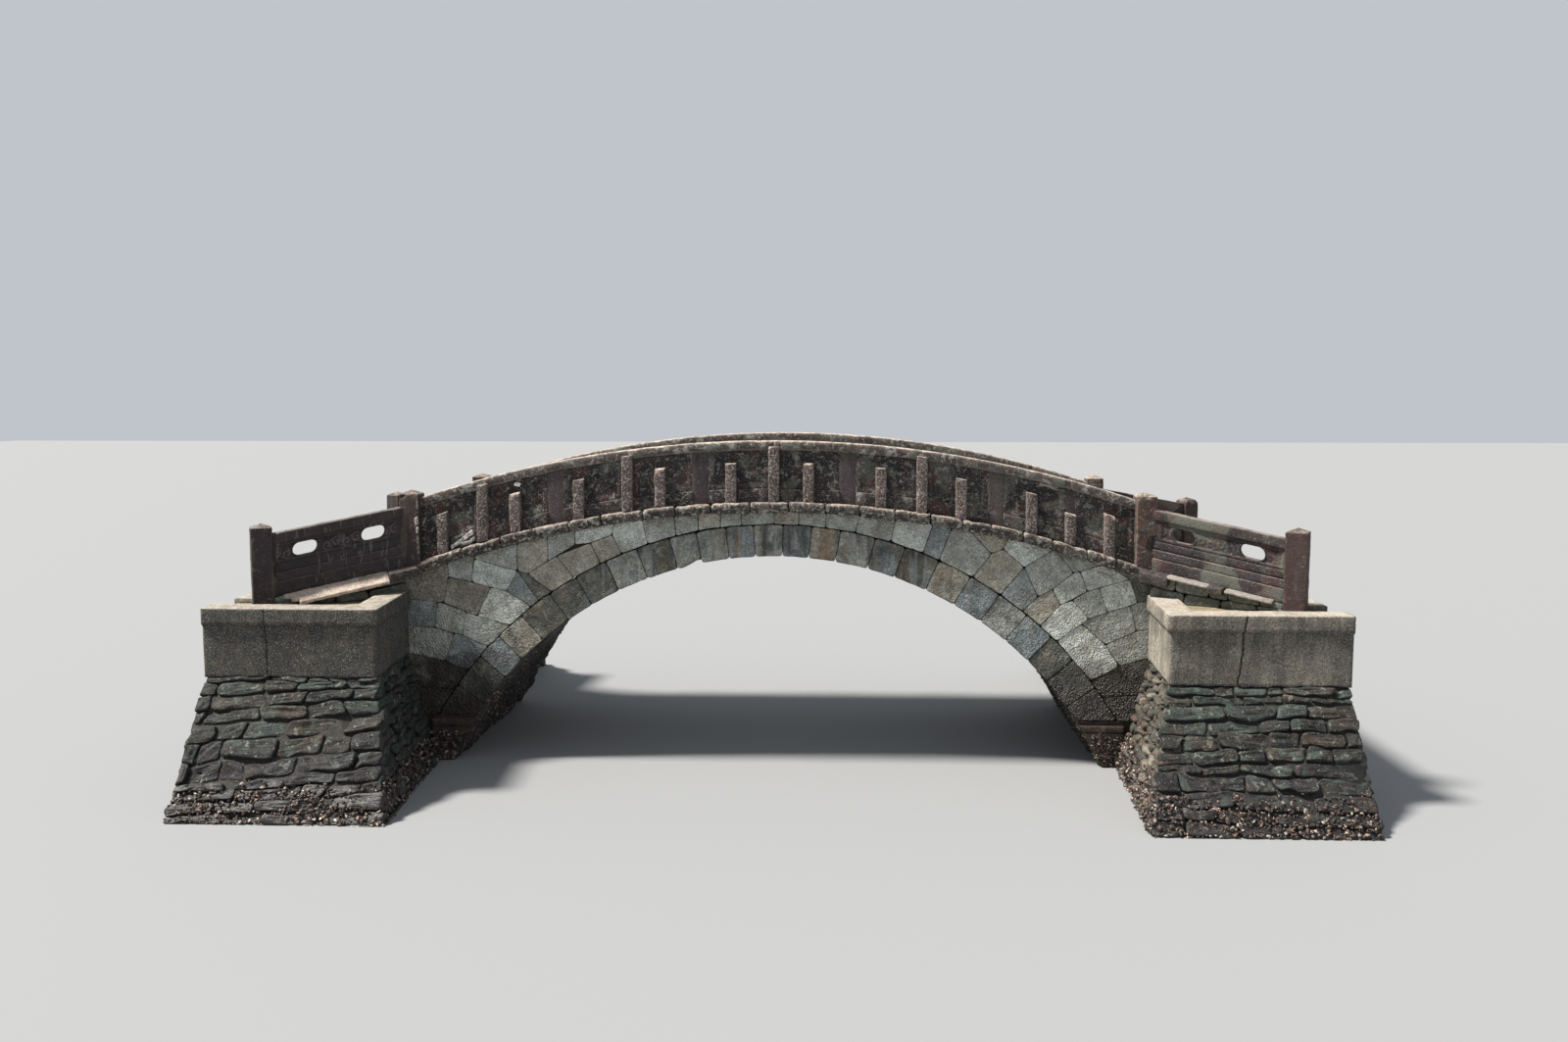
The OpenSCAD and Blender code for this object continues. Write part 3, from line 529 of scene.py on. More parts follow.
# each stone: a letter for its tone, and its corners along the bridge and up
spandrel_stones = [
    ("r", [(-5.53, 2.94), (-4.87, 3.03), (-4.86, 2.79), (-4.95, 2.40), (-5.53, 2.46)]),
    ("g", [(-4.87, 3.03), (-4.47, 3.12), (-4.51, 2.71), (-4.86, 2.79)]),
    ("p", [(-4.47, 3.06), (-3.82, 2.88), (-3.99, 2.58), (-4.51, 2.71)]),
    ("g", [(-4.47, 3.12), (-3.82, 3.30), (-3.82, 2.88), (-4.47, 3.06)]),
    ("u", [(-3.82, 3.30), (-3.36, 3.42), (-3.36, 3.03), (-3.67, 2.84), (-3.82, 2.88)]),
    ("g", [(-3.36, 3.42), (-2.95, 3.50), (-2.95, 3.28), (-3.23, 3.11), (-3.36, 3.03)]),
    ("u", [(-3.23, 3.11), (-2.72, 3.31), (-2.58, 3.00), (-2.98, 2.79)]),
    ("u", [(-3.67, 2.84), (-3.23, 3.11), (-2.98, 2.79), (-3.32, 2.57)]),
    ("d", [(-3.82, 2.88), (-3.67, 2.84), (-3.32, 2.57), (-3.51, 2.44)]),
    ("b", [(-3.82, 2.88), (-3.51, 2.44), (-3.63, 2.35), (-3.99, 2.58)]),
    ("p", [(-4.23, 2.64), (-3.99, 2.58), (-3.63, 2.35), (-3.95, 2.07), (-4.44, 2.20)]),
    ("r", [(-4.86, 2.79), (-4.23, 2.64), (-4.44, 2.20), (-4.95, 2.40)]),
    ("b", [(-5.53, 2.46), (-5.03, 2.41), (-5.09, 2.02), (-5.53, 2.07)]),
    ("g", [(-5.03, 2.41), (-4.60, 2.26), (-4.67, 1.91), (-5.09, 2.02)]),
    ("g", [(-4.60, 2.26), (-4.44, 2.20), (-3.95, 2.07), (-4.29, 1.74), (-4.67, 1.91)]),
    ("g", [(-5.53, 2.07), (-5.09, 2.02), (-4.80, 1.94), (-4.93, 1.51), (-5.40, 1.62), (-5.53, 1.62)]),
    ("b", [(-4.80, 1.94), (-4.67, 1.91), (-4.29, 1.74), (-4.60, 1.38), (-4.93, 1.51)]),
    ("t", [(-5.53, 1.62), (-5.40, 1.62), (-4.93, 1.51), (-4.60, 1.38), (-4.83, 1.08), (-5.53, 1.14)]),
    ("t", [(-5.53, 1.14), (-4.83, 1.08), (-4.97, 0.86), (-5.07, 0.70), (-5.53, 0.70)]),
    ("p", [(-2.95, 3.50), (-2.36, 3.60), (-2.40, 3.43), (-2.72, 3.31), (-2.95, 3.28)]),
    ("u", [(-2.72, 3.31), (-2.40, 3.43), (-2.26, 3.15), (-2.58, 3.00)]),
    ("p", [(-2.36, 3.60), (-1.95, 3.66), (-1.87, 3.30), (-2.26, 3.15), (-2.40, 3.43)]),
    ("g", [(-1.95, 3.66), (-1.48, 3.72), (-1.45, 3.42), (-1.87, 3.30)]),
    ("g", [(-1.48, 3.72), (-1.12, 3.75), (-1.12, 3.50), (-1.45, 3.42)]),
    ("u", [(-1.12, 3.75), (-0.79, 3.77), (-0.79, 3.55), (-1.12, 3.50)]),
    ("g", [(-0.79, 3.77), (-0.48, 3.78), (-0.48, 3.58), (-0.79, 3.55)]),
    ("g", [(-0.48, 3.78), (0.00, 3.79), (0.00, 3.60), (-0.48, 3.58)]),
    ("u", [(0.00, 3.79), (0.36, 3.79), (0.36, 3.59), (0.00, 3.60)]),
    ("g", [(0.36, 3.79), (0.76, 3.77), (0.76, 3.55), (0.36, 3.59)]),
    ("g", [(0.76, 3.77), (1.26, 3.74), (1.19, 3.48), (0.76, 3.55)]),
    ("g", [(1.26, 3.74), (1.78, 3.69), (1.71, 3.35), (1.19, 3.48)]),
    ("p", [(1.78, 3.69), (2.33, 3.61), (2.18, 3.18), (1.71, 3.35)]),
    ("b", [(2.33, 3.61), (2.60, 3.56), (2.42, 3.08), (2.18, 3.18)]),
    ("g", [(2.60, 3.56), (2.86, 3.51), (3.18, 3.18), (2.91, 2.83), (2.42, 3.08)]),
    ("u", [(2.86, 3.51), (3.42, 3.41), (3.35, 3.25), (3.18, 3.18)]),
    ("u", [(3.35, 3.25), (3.66, 2.98), (3.33, 2.57), (2.91, 2.83), (3.18, 3.18)]),
    ("p", [(3.42, 3.41), (4.09, 3.25), (3.66, 2.98), (3.35, 3.25)]),
    ("g", [(3.66, 2.98), (4.09, 3.25), (4.38, 2.90), (4.08, 2.66), (3.87, 2.54)]),
    ("b", [(3.66, 2.98), (3.87, 2.54), (3.65, 2.33), (3.33, 2.57)]),
    ("g", [(4.09, 3.25), (4.83, 3.04), (4.47, 2.92), (4.38, 2.90)]),
    ("p", [(4.08, 2.66), (4.38, 2.90), (4.47, 2.92), (4.58, 2.63), (4.20, 2.42)]),
    ("p", [(4.47, 2.92), (4.83, 3.04), (5.19, 2.81), (4.58, 2.63)]),
    ("u", [(3.65, 2.33), (3.87, 2.54), (4.08, 2.66), (4.20, 2.42), (3.91, 2.11)]),
    ("p", [(3.91, 2.11), (4.20, 2.42), (4.37, 2.49), (4.61, 2.22), (4.15, 1.89)]),
    ("g", [(4.37, 2.49), (4.58, 2.63), (4.75, 2.68), (4.88, 2.32), (4.61, 2.22)]),
    ("p", [(4.75, 2.68), (5.19, 2.81), (5.31, 2.46), (4.88, 2.32)]),
    ("g", [(4.61, 2.22), (4.88, 2.32), (5.21, 2.42), (5.31, 2.04), (4.86, 1.84), (4.51, 2.15)]),
    ("p", [(4.15, 1.89), (4.51, 2.15), (4.86, 1.84), (5.07, 1.52), (4.66, 1.30)]),
    ("g", [(4.86, 1.84), (5.31, 2.04), (5.53, 2.08), (5.53, 1.66), (5.07, 1.52)]),
    ("d", [(4.83, 3.04), (5.53, 2.86), (5.53, 2.50), (5.31, 2.46), (5.19, 2.81)]),
    ("g", [(5.21, 2.42), (5.31, 2.46), (5.53, 2.50), (5.53, 2.08), (5.31, 2.04)]),
    ("t", [(4.66, 1.30), (5.07, 1.52), (5.53, 1.66), (5.53, 1.10), (4.84, 1.05)]),
    ("t", [(4.84, 1.05), (5.53, 1.10), (5.53, 0.70), (5.07, 0.70), (4.97, 0.86)]),
]


def shell(a, b, c):
    """A closed box of grid points: every point of a lattice that lies on one of its six sides, with the quads
    of each side wound to face outwards. a, b and c are the lattice's spacings. Returns the points as three
    arrays, and the quads."""
    lattice = np.indices((len(a), len(b), len(c)))
    i, j, k = lattice
    skin = (i % (len(a) - 1) == 0) | (j % (len(b) - 1) == 0) | (k % (len(c) - 1) == 0)
    index = np.full(skin.shape, -1)
    index[skin] = np.arange(skin.sum())

    def quads(grid, turned):
        """The cells of one side."""
        q = np.stack([grid[:-1, :-1], grid[1:, :-1], grid[1:, 1:], grid[:-1, 1:]], -1).reshape(-1, 4)
        return q[:, ::-1] if turned else q
    sides = ((index[:, :, 0], True), (index[:, :, -1], False), (index[:, 0], False), (index[:, -1], True),
             (index[0], True), (index[-1], False))
    return ([np.asarray(way)[n[skin]] for way, n in zip((a, b, c), lattice)],
            np.concatenate([quads(*side) for side in sides]))


spandrel_stone = stone_finish("spandrel_stone", [
    ((116, 111, 98), 2.4, 0.55, 0.07, 0.5), ((100, 98, 88), 5.0, 0.58, 0.06, 0.45),
    ((204, 208, 202), 4.0, 0.58, 0.07, 0.4), ((126, 108, 84), 3.2, 0.60, 0.06, 0.45)],
    mottle=0.28, pits=0.3, edge=(40, 38, 33), edge_amount=0.45, wet_line=(1.25, 1.75, 0.85),
    wet=(46, 39, 31), strokes=0.7, pecked=1.6)
mortar = stone_finish("mortar", [((30, 28, 24), 6.0, 0.5, 0.08, 0.6)], bump=0.8)
BED, RING_FOOT_X = 0.05, 5.07
# sunlit stones are paler than those of the ring
PALE_FACE, FACE = 1.65, 1.4
for side, row in SIDES:
    node = row + "_spandrel_wall"
    shape = face_stones([corners for _, corners in spandrel_stones], on_face(side), 0.3, joint=0.004,
                        round_edge=0.008, relief=0.010, relief_size=0.16, wander=0.008, set_out=0.006,
                        seed=8 + side, steps=44, inner=6)
    shape = tinted(shape, [STONE_TONES[k] * (PALE_FACE if k == "p" else FACE) for k, _ in spandrel_stones])
    make_piece(node + "_stones", shape, spandrel_stone, node)
    (x, up, out), quads = shell(np.linspace(-BODY_X, BODY_X, 120), [0, 1], [0, 1])
    foot = np.where(np.abs(x) > RING_FOOT_X, 0.0, back_height(x))
    points = np.stack([x, side * (HALF_WIDTH - FACE_DEPTH + out * (FACE_DEPTH - BED)),
                       foot + up * (road_height(x, -STRING_HEIGHT) - foot)], -1)
    make_piece(node + "_mortar", {"points": points, "quads": quads, "tint": tone(60, 56, 48)}, mortar)

# Vault: courses of roughly dressed blocks laid across the bridge between the two rings,
# damp underneath and darkened there with painted shade. The courses near the feet carry a crust of shells.
CORE = HALF_WIDTH - FACE_DEPTH
SPRING_ANGLE = math.acos((SPRINGER_HEIGHT - ARCH_Z) / ARCH_R)


def in_vault(u, v, out):
    """Barrel coordinates into space: u across the bridge, v along the arc from the crown, and out into the
    opening."""
    radius = ARCH_R - out
    return np.stack([radius * np.sin(v / ARCH_R), u, ARCH_Z + radius * np.cos(v / ARCH_R)], -1)


def coursed(u0, u1, v0, v1, rows, length, rng, waver=0.0, lean=0.0, split=0.0):
    """Courses of stones: level lines that waver by a share of a course, cut by leaning joints. A share of the
    stones is split in two thin ones."""
    share = rng.uniform(0.78, 1.22, rows)
    level = v0 + (v1 - v0) * np.concatenate([[0], np.cumsum(share) / share.sum()])
    height = (v1 - v0) / rows

    def line(k, u):
        """Height of the line under a course, with its wavering at a place."""
        if k in (0, rows):
            return level[k]
        return level[k] + waver * height * float(rough(np.array([u, k * 3.3, 0.5]), 0.9, 2))
    outlines = []
    for k in range(rows):
        count = max(1, round((u1 - u0) / length * rng.uniform(0.8, 1.2)))
        cut = np.concatenate([[0], np.cumsum(rng.uniform(0.55, 1.45, count))])
        cut = u0 + (u1 - u0) * cut / cut[-1]
        tip = rng.normal(0, lean, count + 1) * np.array([0] + [1] * (count - 1) + [0])
        for i in range(count):
            a, b = cut[i], cut[i + 1]
            low = [(a - tip[i], line(k, a)), (b - tip[i + 1], line(k, b))]
            high = [(b + tip[i + 1], line(k + 1, b)), (a + tip[i], line(k + 1, a))]
            if rng.random() < split:
                part = rng.uniform(0.35, 0.65)
                middle = [tuple(np.array(low[j]) * (1 - part) + np.array(high[1 - j]) * part) for j in (0, 1)]
                outlines += [low + middle[::-1], middle + high]
            else:
                outlines.append(low + high)
    return outlines


rng = np.random.default_rng(21)
reach = ARCH_R * SPRING_ANGLE
outlines = coursed(-CORE, CORE, -reach, reach, 27, 0.62, rng, waver=0.05, lean=0.012)
shape = face_stones(outlines, in_vault, 0.4, joint=0.012, round_edge=0.022, relief=0.014, relief_size=0.22,
                    wander=0.008, set_out=0.012, steps=20, seed=22, inner=2, rims=3)
vault_stone = stone_finish("vault_stone", [
    ((20, 20, 18), 2.8, 0.52, 0.09, 0.8), ((58, 59, 54), 9.0, 0.61, 0.05, 0.35)],
    mottle=0.7, edge=(12, 11, 10), edge_amount=0.7, wet_line=(1.1, 2.1, 0.85), wet=(15, 13, 11), bump=0.8)
# painted shade: the tint of the stones under the arch is cut to a small share, for the deep shade there
UNDER_ARCH_PAINTED_SHADE = 0.08
shape = tinted(shape, [UNDER_ARCH_PAINTED_SHADE * STONE_TONES[k] for k in rng.choice(list("gdgbdu"), len(outlines))])
make_piece("vault_blocks", shape, vault_stone, "arch_vault")

# Springers: one long block across the bridge at each foot, cut from reddish sandstone.
# A deep and a fine groove run level along each face, and the arrises are worn round.
TAIL_X = 5.169
# each groove: its foot, its top and its depth
GROOVES = ((0.630, 0.680, 0.025), (0.500, 0.520, 0.020))
HANDS = ((-1, "left"), (1, "right"))


def spaced(a, b, step, edge):
    """Grid lines from a to b: close together at both edges and then one a step."""
    edge = min(edge, (b - a) / 3)
    inner = np.linspace(a + edge, b - edge, max(2, round((b - a) / step) + 1))
    return np.concatenate([[a, a + 0.35 * edge], inner, [b - 0.35 * edge, b]])


def worn_block(x, y, z, step, edge, rng, chips=1.0, relief=0.004, relief_size=0.1, chip_size=0.09,
               lines=None):
    """A block with rounded and chipped edges. Each point is drawn towards the box that lies one radius
    further in, and what is left of its way out is cut to that radius; noise makes the radius larger where
    chips are. Lines are the grid's own, where a plain one doesn't do."""
    own = rng.uniform(0, 50, 3)
    points, quads = shell(*(lines or [spaced(*ends, step, edge) for ends in (x, y, z)]))
    points = np.stack(points, -1)
    low, high = np.transpose([x, y, z])
    radius = edge * (1 + chips * np.maximum(0, rough(points + own, chip_size, 3) * 2.4) ** 2)
    reach = np.minimum(radius[:, None], (high - low) * 0.49)
    inner = np.clip(points, low + reach, high - reach)
    way = points - inner
    length = np.maximum(np.linalg.norm(way, axis=1, keepdims=True), 1e-9)
    moved = inner + way * np.minimum(1, radius[:, None] / length)
    moved = moved + way / length * relief * rough(points + own + 19, relief_size, 4)[:, None]
    gap = np.sort(np.minimum(points - low, high - points), axis=1)[:, 1]
    return {"points": moved, "quads": quads, "worn": np.clip(1 - gap / (2.5 * edge), 0, 1)}


def arch_edge(z):
    """Distance of the arch's face from the middle of the span, at a height."""
    return np.sqrt(ARCH_R ** 2 - (z - ARCH_Z) ** 2)


springer_stone = stone_finish("springer_stone", [
    ((48, 38, 33), 4.0, 0.52, 0.08, 0.7), ((112, 102, 92), 10.0, 0.61, 0.05, 0.4)],
    edge=(40, 30, 26), edge_amount=0.4, wet_line=(0.35, 0.6, 0.8), wet=(26, 21, 17), bump=0.9)
SPRINGER_TINT = tone(56, 44, 38)
# heights of the block's grid, close together at the grooves' edges
SPRINGER_LEVELS = np.append(np.linspace(0, 0.49, 10), [0.498, 0.503, 0.517, 0.522, 0.55, 0.59, 0.627, 0.634,
                                                       0.655, 0.676, 0.683, 0.693, SPRINGER_HEIGHT])
for side, hand in HANDS:
    node = hand + "_springer"
    lines = [spaced(0, 1, 0.12, 0.03), spaced(-HALF_WIDTH, HALF_WIDTH, 0.09, 0.02), SPRINGER_LEVELS]
    block = worn_block((0, 1), (-HALF_WIDTH, HALF_WIDTH), (0, SPRINGER_HEIGHT), 0.1, 0.02, rng, relief=0.010,
                       relief_size=0.15, lines=lines)
    a, y, z = block["points"].T
    z = np.clip(z, 0, SPRINGER_HEIGHT)
    for low, high, deep in GROOVES:
        inside = np.clip(np.minimum(z - low, high - z) / 0.004, 0, 1)
        y = y - np.sign(y) * np.where(np.abs(y) > HALF_WIDTH - 0.1, deep * inside, 0)
    x = arch_edge(z) + np.clip(a, -0.02, 1) * (TAIL_X - arch_edge(z))
    block = dict(block, points=np.stack([side * x, y, z], -1), tint=SPRINGER_TINT)
    make_piece(node + "_block", block, springer_stone, node)

# String course: long stones under the parapet, rough at the front and chipped along the
# top edge. They have moved a little, so each sits at its own height and angle.
STRING_WEAR, STRING_JOINT = 0.038, 0.006
STRING_OUTER = HALF_WIDTH + STRING_OUT
STRING_TINT = tone(82, 75, 70)
near_string_joints = [-5.53, -4.63, -4.04, -3.56, -3.02, -2.55, -1.93, -1.45, -0.92, -0.35, 0.22, 0.75, 1.25,
                      1.76, 2.28, 2.74, 3.16, 3.63, 4.05, 4.55, 4.97, 5.53]


def cambered(points, side):
    """Puts points given as x, y and a height over the roadway on the camber, on one side of the bridge. The
    height is taken along the radius."""
    x, y, height = np.moveaxis(points, -1, 0)
    return np.stack([x, side * y, ROAD_Z + np.sqrt((ROAD_R + height) ** 2 - x ** 2)], -1)


def shaded(block, colour, rng, spread=0.12):
    """Gives a block its own slightly lighter or darker tint, times its painted shade and highlight where it
    has them.
    """
    own = colour * rng.uniform(1 - spread, 1 + spread)
    return dict(block, tint=block.get("shade", np.ones(1))[:, None] * own)


string_stone = stone_finish("string_stone", [
    ((30, 27, 27), 5.0, 0.51, 0.05, 0.85), ((88, 58, 50), 7.0, 0.58, 0.05, 0.5),
    ((124, 124, 114), 5.5, 0.57, 0.04, 0.6), ((198, 192, 182), 17.0, 0.57, 0.03, 0.75)],
    mottle=1.1, pits=0.9, edge=(110, 100, 92), edge_amount=0.2, speckle=0.9,
    top=(168, 150, 138), top_amount=0.7)
for side, row in SIDES:
    node = row + "_string_course"
    blocks = []
    joints = sorted(-side * x for x in near_string_joints)
    for a, b in zip(joints[:-1], joints[1:]):
        ends, out, up = (a + STRING_JOINT, b - STRING_JOINT), (CORE, STRING_OUTER), (-STRING_HEIGHT, 0)
        across = spaced(*out, 0.045, STRING_WEAR)
        seen = (across < CORE + 0.05) | (across > HALF_WIDTH - 0.05) | (np.arange(len(across)) % 3 == 0)
        lines = [spaced(*ends, 0.06, STRING_WEAR), across[seen], spaced(*up, 0.045, STRING_WEAR)]
        block = worn_block(ends, out, up, 0.045, STRING_WEAR, rng, chips=1.2, relief=0.022, relief_size=0.11,
                           lines=lines, chip_size=0.14)
        x, y, z = block["points"].T
        off, front = x - (a + b) / 2, np.clip((y - CORE) / 0.5, 0, 1)
        z = np.minimum(z + front * (rng.normal(0, 0.005) + off * rng.normal(0, 0.012)), 0.004)
        y = np.minimum(y + front * (rng.normal(0, 0.008) + off * rng.normal(0, 0.02)), STRING_OUTER + 0.008)
        # the lower part of each stone's front is drawn back, and darkened there with painted shade
        under = np.clip((-0.055 - z) / 0.07, 0, 1) * np.clip((y - HALF_WIDTH) / 0.05, 0, 1)
        points = cambered(np.stack([x, y - 0.045 * under, z], -1), side)
        blocks.append(shaded(dict(block, points=points, shade=1 - 0.6 * under), STRING_TINT, rng, 0.25))
    make_piece(node + "_stones", joined(blocks), string_stone, node)

# Parapet boards: in each bay a sill board stands on the string course and carries a panel,
# whose field is sunk and carved with clouds that the weather has nearly worn away.
BAYS = 10
BAY = 2 * POST_X / BAYS
RAIL_TOP, RAIL_HEIGHT, SILL_HEIGHT = 0.895, 0.145, 0.19
RAIL_IN, RAIL_FACE = 1.78, 1.96
PANEL_IN, PANEL_FACE = 1.81, 1.93
POST_WIDTH, FLUSH_WIDTH = 0.155, 0.255


def post_half(k):
    """Half the width of the post at a bay line: main posts at the ends, then tall and flush ones by turns."""
    return PIER_WIDTH / 2 if abs(k) == BAYS // 2 else (POST_WIDTH if k % 2 == 0 else FLUSH_WIDTH) / 2


def plate(front, back, keep=None, worn=None, shade=None):
    """A plate between two grids of points: quads on both wherever keep is true, and a wall along every edge
    that has a kept cell on one side only, so holes and rims are closed alike. Shade makes hollows darker."""
    na, nb = front.shape[:2]
    index = np.arange(na * nb).reshape(na, nb)
    i, j = np.nonzero(np.ones((na - 1, nb - 1), bool) if keep is None else keep)
    a, b, c, d = index[i, j], index[i + 1, j], index[i + 1, j + 1], index[i, j + 1]
    quads = np.stack([a, b, c, d], -1)
    edges = np.concatenate([quads[:, [k, (k + 1) % 4]] for k in range(4)])
    key = np.sort(edges, 1) @ np.array([na * nb, 1])
    _, first, count = np.unique(key, return_index=True, return_counts=True)
    rim = edges[first[count == 1]]
    shift = na * nb
    wall = np.stack([rim[:, 1], rim[:, 0], rim[:, 0] + shift, rim[:, 1] + shift], -1)
    faces = np.concatenate([quads, quads[:, ::-1] + shift, wall])
    points = np.concatenate([front.reshape(-1, 3), back.reshape(-1, 3)])
    used, faces = np.unique(faces, return_inverse=True)
    wear = np.zeros(2 * shift) if worn is None else np.tile(worn.ravel(), 2)
    value = np.ones(2 * shift) if shade is None else np.tile(shade.ravel(), 2)
    return {"points": points[used], "quads": faces.reshape(-1, 4), "worn": wear[used], "shade": value[used]}


def scrolls(s, h, pitch, radius, turns=2.2):
    """Carved scrolls: round each centre a ridge winds inwards as a spiral, left and right by turns, and a
    wavy stem joins them. Returns heights from 0 to 1."""
    k = np.round(s / pitch)
    ds = s - k * pitch
    dh = h - np.where(k % 2 == 0, 0.25, -0.25) * radius
    distance = np.hypot(ds, dh) / radius
    angle = np.arctan2(dh, ds) * np.where(k % 2 == 0, 1, -1)
    ridge = 0.5 + 0.5 * np.cos(angle - distance * turns * 2 * np.pi)
    curl = ridge * np.clip((1.15 - distance) / 0.25, 0, 1) * np.clip(distance / 0.15, 0, 1)
    stem = np.exp(-((h - 0.75 * radius * np.sin(np.pi * s / pitch)) / (0.16 * radius)) ** 2)
    return np.maximum(curl, 0.8 * stem * (distance > 0.9))


parapet_stone = stone_finish("parapet_stone", [
    ((24, 22, 22), 1.9, 0.50, 0.06, 0.8), ((96, 98, 88), 2.6, 0.57, 0.04, 0.7),
    ((84, 50, 45), 3.6, 0.57, 0.05, 0.55), ((140, 142, 136), 14.0, 0.60, 0.03, 0.65),
    ((190, 186, 176), 3.1, 0.69, 0.012, 0.7), ((20, 18, 18), 8.0, 0.60, 0.05, 0.6, DOWN)],
    mottle=0.7, pits=0.7, edge=(100, 90, 84), edge_amount=0.15, speckle=0.9,
    top=(122, 108, 100), top_amount=0.5)
PANEL_TINT = tone(52, 46, 45)
PANEL_TOP, FIELD_MARGIN, FIELD_SINK = RAIL_TOP - RAIL_HEIGHT, 0.06, 0.02
CLOUD_PITCH, CLOUD_RADIUS, CLOUD_HEIGHT = 0.21, 0.10, 0.016
for side, row in SIDES:
    sills, panels = [], []
    for k in range(-BAYS // 2, BAYS // 2):
        a, b = k * BAY + post_half(k), (k + 1) * BAY - post_half(k + 1)
        sill = worn_block((a - 0.01, b + 0.01), (RAIL_IN, RAIL_FACE), (0, SILL_HEIGHT), 0.075, 0.012, rng,
                          chips=2.0, relief=0.006, relief_size=0.16)
        sill["points"] = cambered(sill["points"], side)
        sills.append(shaded(sill, PANEL_TINT, rng))
        u, h = np.meshgrid(np.linspace(a - 0.012, b + 0.012, 38),
                           np.linspace(SILL_HEIGHT - 0.01, PANEL_TOP + 0.01, 24), indexing="ij")
        flat = np.stack([u, h + 3 * side, 0 * u + k], -1)
        sideways, upright = np.minimum(u - a, b - u), np.minimum(h - SILL_HEIGHT, PANEL_TOP - h)
        inset = np.minimum(sideways, upright) - FIELD_MARGIN
        field = np.clip(inset / 0.012, 0, 1)
        cloud = scrolls(u - (a + b) / 2 + 0.1, h - 0.47, CLOUD_PITCH, CLOUD_RADIUS)
        fade = np.clip(rough(flat, 0.35, 2) + 0.55, 0.1, 1)
        relief = 0.008 * rough(flat, 0.09, 4) - FIELD_SINK * field + CLOUD_HEIGHT * field * cloud * fade
        back = 0.006 * rough(flat + 31, 0.09, 4) - 0.006 * field
        front, behind = [cambered(np.stack([u, y, h], -1), side)
                         for y in (PANEL_FACE + relief, PANEL_IN - back)]
        # painted shade darkens the sunk field, and painted highlight lightens the carved clouds
        panel = plate(front, behind, worn=np.clip(1 - np.abs(inset) / 0.02, 0, 1),
                      shade=1 - 0.35 * field + 1.1 * field * cloud * fade)
        panels.append(shaded(panel, PANEL_TINT, rng))
    make_piece(row + "_sill_boards", joined(sills), parapet_stone, row + "_sill")
    make_piece(row + "_carved_panels", joined(panels), parapet_stone, row + "_panels")

# Parapet rail: stone lengths that meet over the tall posts. Their tops are rounded by wear and
# weather, and pale, partly bleached and partly painted highlight. Their faces are spotted with
# grey-green lichen.
rail_stone = stone_finish("rail_stone", [
    ((42, 38, 37), 3.0, 0.52, 0.08, 0.8), ((112, 118, 108), 3.6, 0.55, 0.05, 0.65),
    ((92, 60, 54), 7.0, 0.60, 0.05, 0.45), ((172, 172, 164), 14.0, 0.58, 0.04, 0.7)],
    mottle=0.9, pits=0.6, edge=(150, 138, 128), edge_amount=0.3, bump=0.9, speckle=0.6,
    top=(196, 178, 168), top_amount=0.95)
RAIL_TINT = tone(78, 70, 66)
rail_ends = [-POST_X + 0.10, -4 * BAY, -2 * BAY, 0.0, 2 * BAY, 4 * BAY, POST_X - 0.10]
for side, row in SIDES:
    rails = []
    for a, b in zip(rail_ends[:-1], rail_ends[1:]):
        rail = worn_block((a - 0.014, b + 0.014), (RAIL_IN, RAIL_FACE), (PANEL_TOP, RAIL_TOP), 0.06, 0.032,
                          rng, chips=0.9, relief=0.009, relief_size=0.2)
        rail["points"][:, 2] = np.minimum(rail["points"][:, 2], RAIL_TOP - 0.001)
        rail["points"] = cambered(rail["points"], side)
        rails.append(shaded(rail, RAIL_TINT, rng))
    make_piece(row + "_rail_lengths", joined(rails), rail_stone, row + "_rail")

# Parapet posts: flush strips between the panels, a tall post standing out in front of
# every second one, and a short strut against each panel. One tall post is a stub.
POST_FACE, STRUT_HEIGHT, STUB_HEIGHT, POST_DROP = 2.055, 0.575, 0.43, 0.085
# side and bay line of the tall post that is a stub
STUB = (-1, 4)
# how deep each kind of post reaches across the parapet
STRIP_DEPTH, POST_DEPTH = (RAIL_IN, PANEL_FACE + 0.002), (PANEL_FACE - 0.02, POST_FACE)
STRUT_DEPTH = (PANEL_FACE - 0.02, POST_FACE - 0.004)
STRIP_TINT, POST_TINT, STRUT_TINT = tone(66, 58, 59), tone(84, 72, 68), tone(84, 71, 67)
near_strut_places = [-4.911, -3.822, -2.874, -1.673, -0.630, 0.506, 1.559, 2.722, 3.742, 4.867]
strut_stone = stone_finish("strut_stone", [
    ((46, 40, 39), 3.4, 0.52, 0.06, 0.7), ((92, 64, 58), 6.0, 0.57, 0.05, 0.4),
    ((184, 178, 170), 38.0, 0.57, 0.03, 0.8)],
    mottle=0.9, pits=0.7, edge=(150, 134, 124), edge_amount=0.25, speckle=0.8,
    top=(188, 174, 162), top_amount=0.7)
post_stone = stone_finish("post_stone", [
    ((34, 30, 32), 2.4, 0.53, 0.06, 0.7, (1.0, 1.0, 0.4)), ((66, 45, 43), 4.0, 0.57, 0.06, 0.35),
    ((84, 82, 68), 6.0, 0.58, 0.03, 0.5, (1.0, 1.0, 0.15)), ((140, 134, 126), 15.0, 0.63, 0.03, 0.35)],
    mottle=0.45, pits=0.4, edge=(104, 92, 85), edge_amount=0.3, bump=0.8, speckle=0.15,
    top=(148, 134, 122), top_amount=0.6)


def post_block(side, x, half, y, height, colour, chips, step=0.045):
    """A worn post of a given half width round a place along the bridge, on the camber."""
    post = worn_block((x - half, x + half), y, (0, height), step, 0.014, rng, chips=chips, relief=0.008,
                      relief_size=0.07, chip_size=0.11)
    post["points"] = cambered(post["points"], side)
    return shaded(post, colour, rng, 0.2)


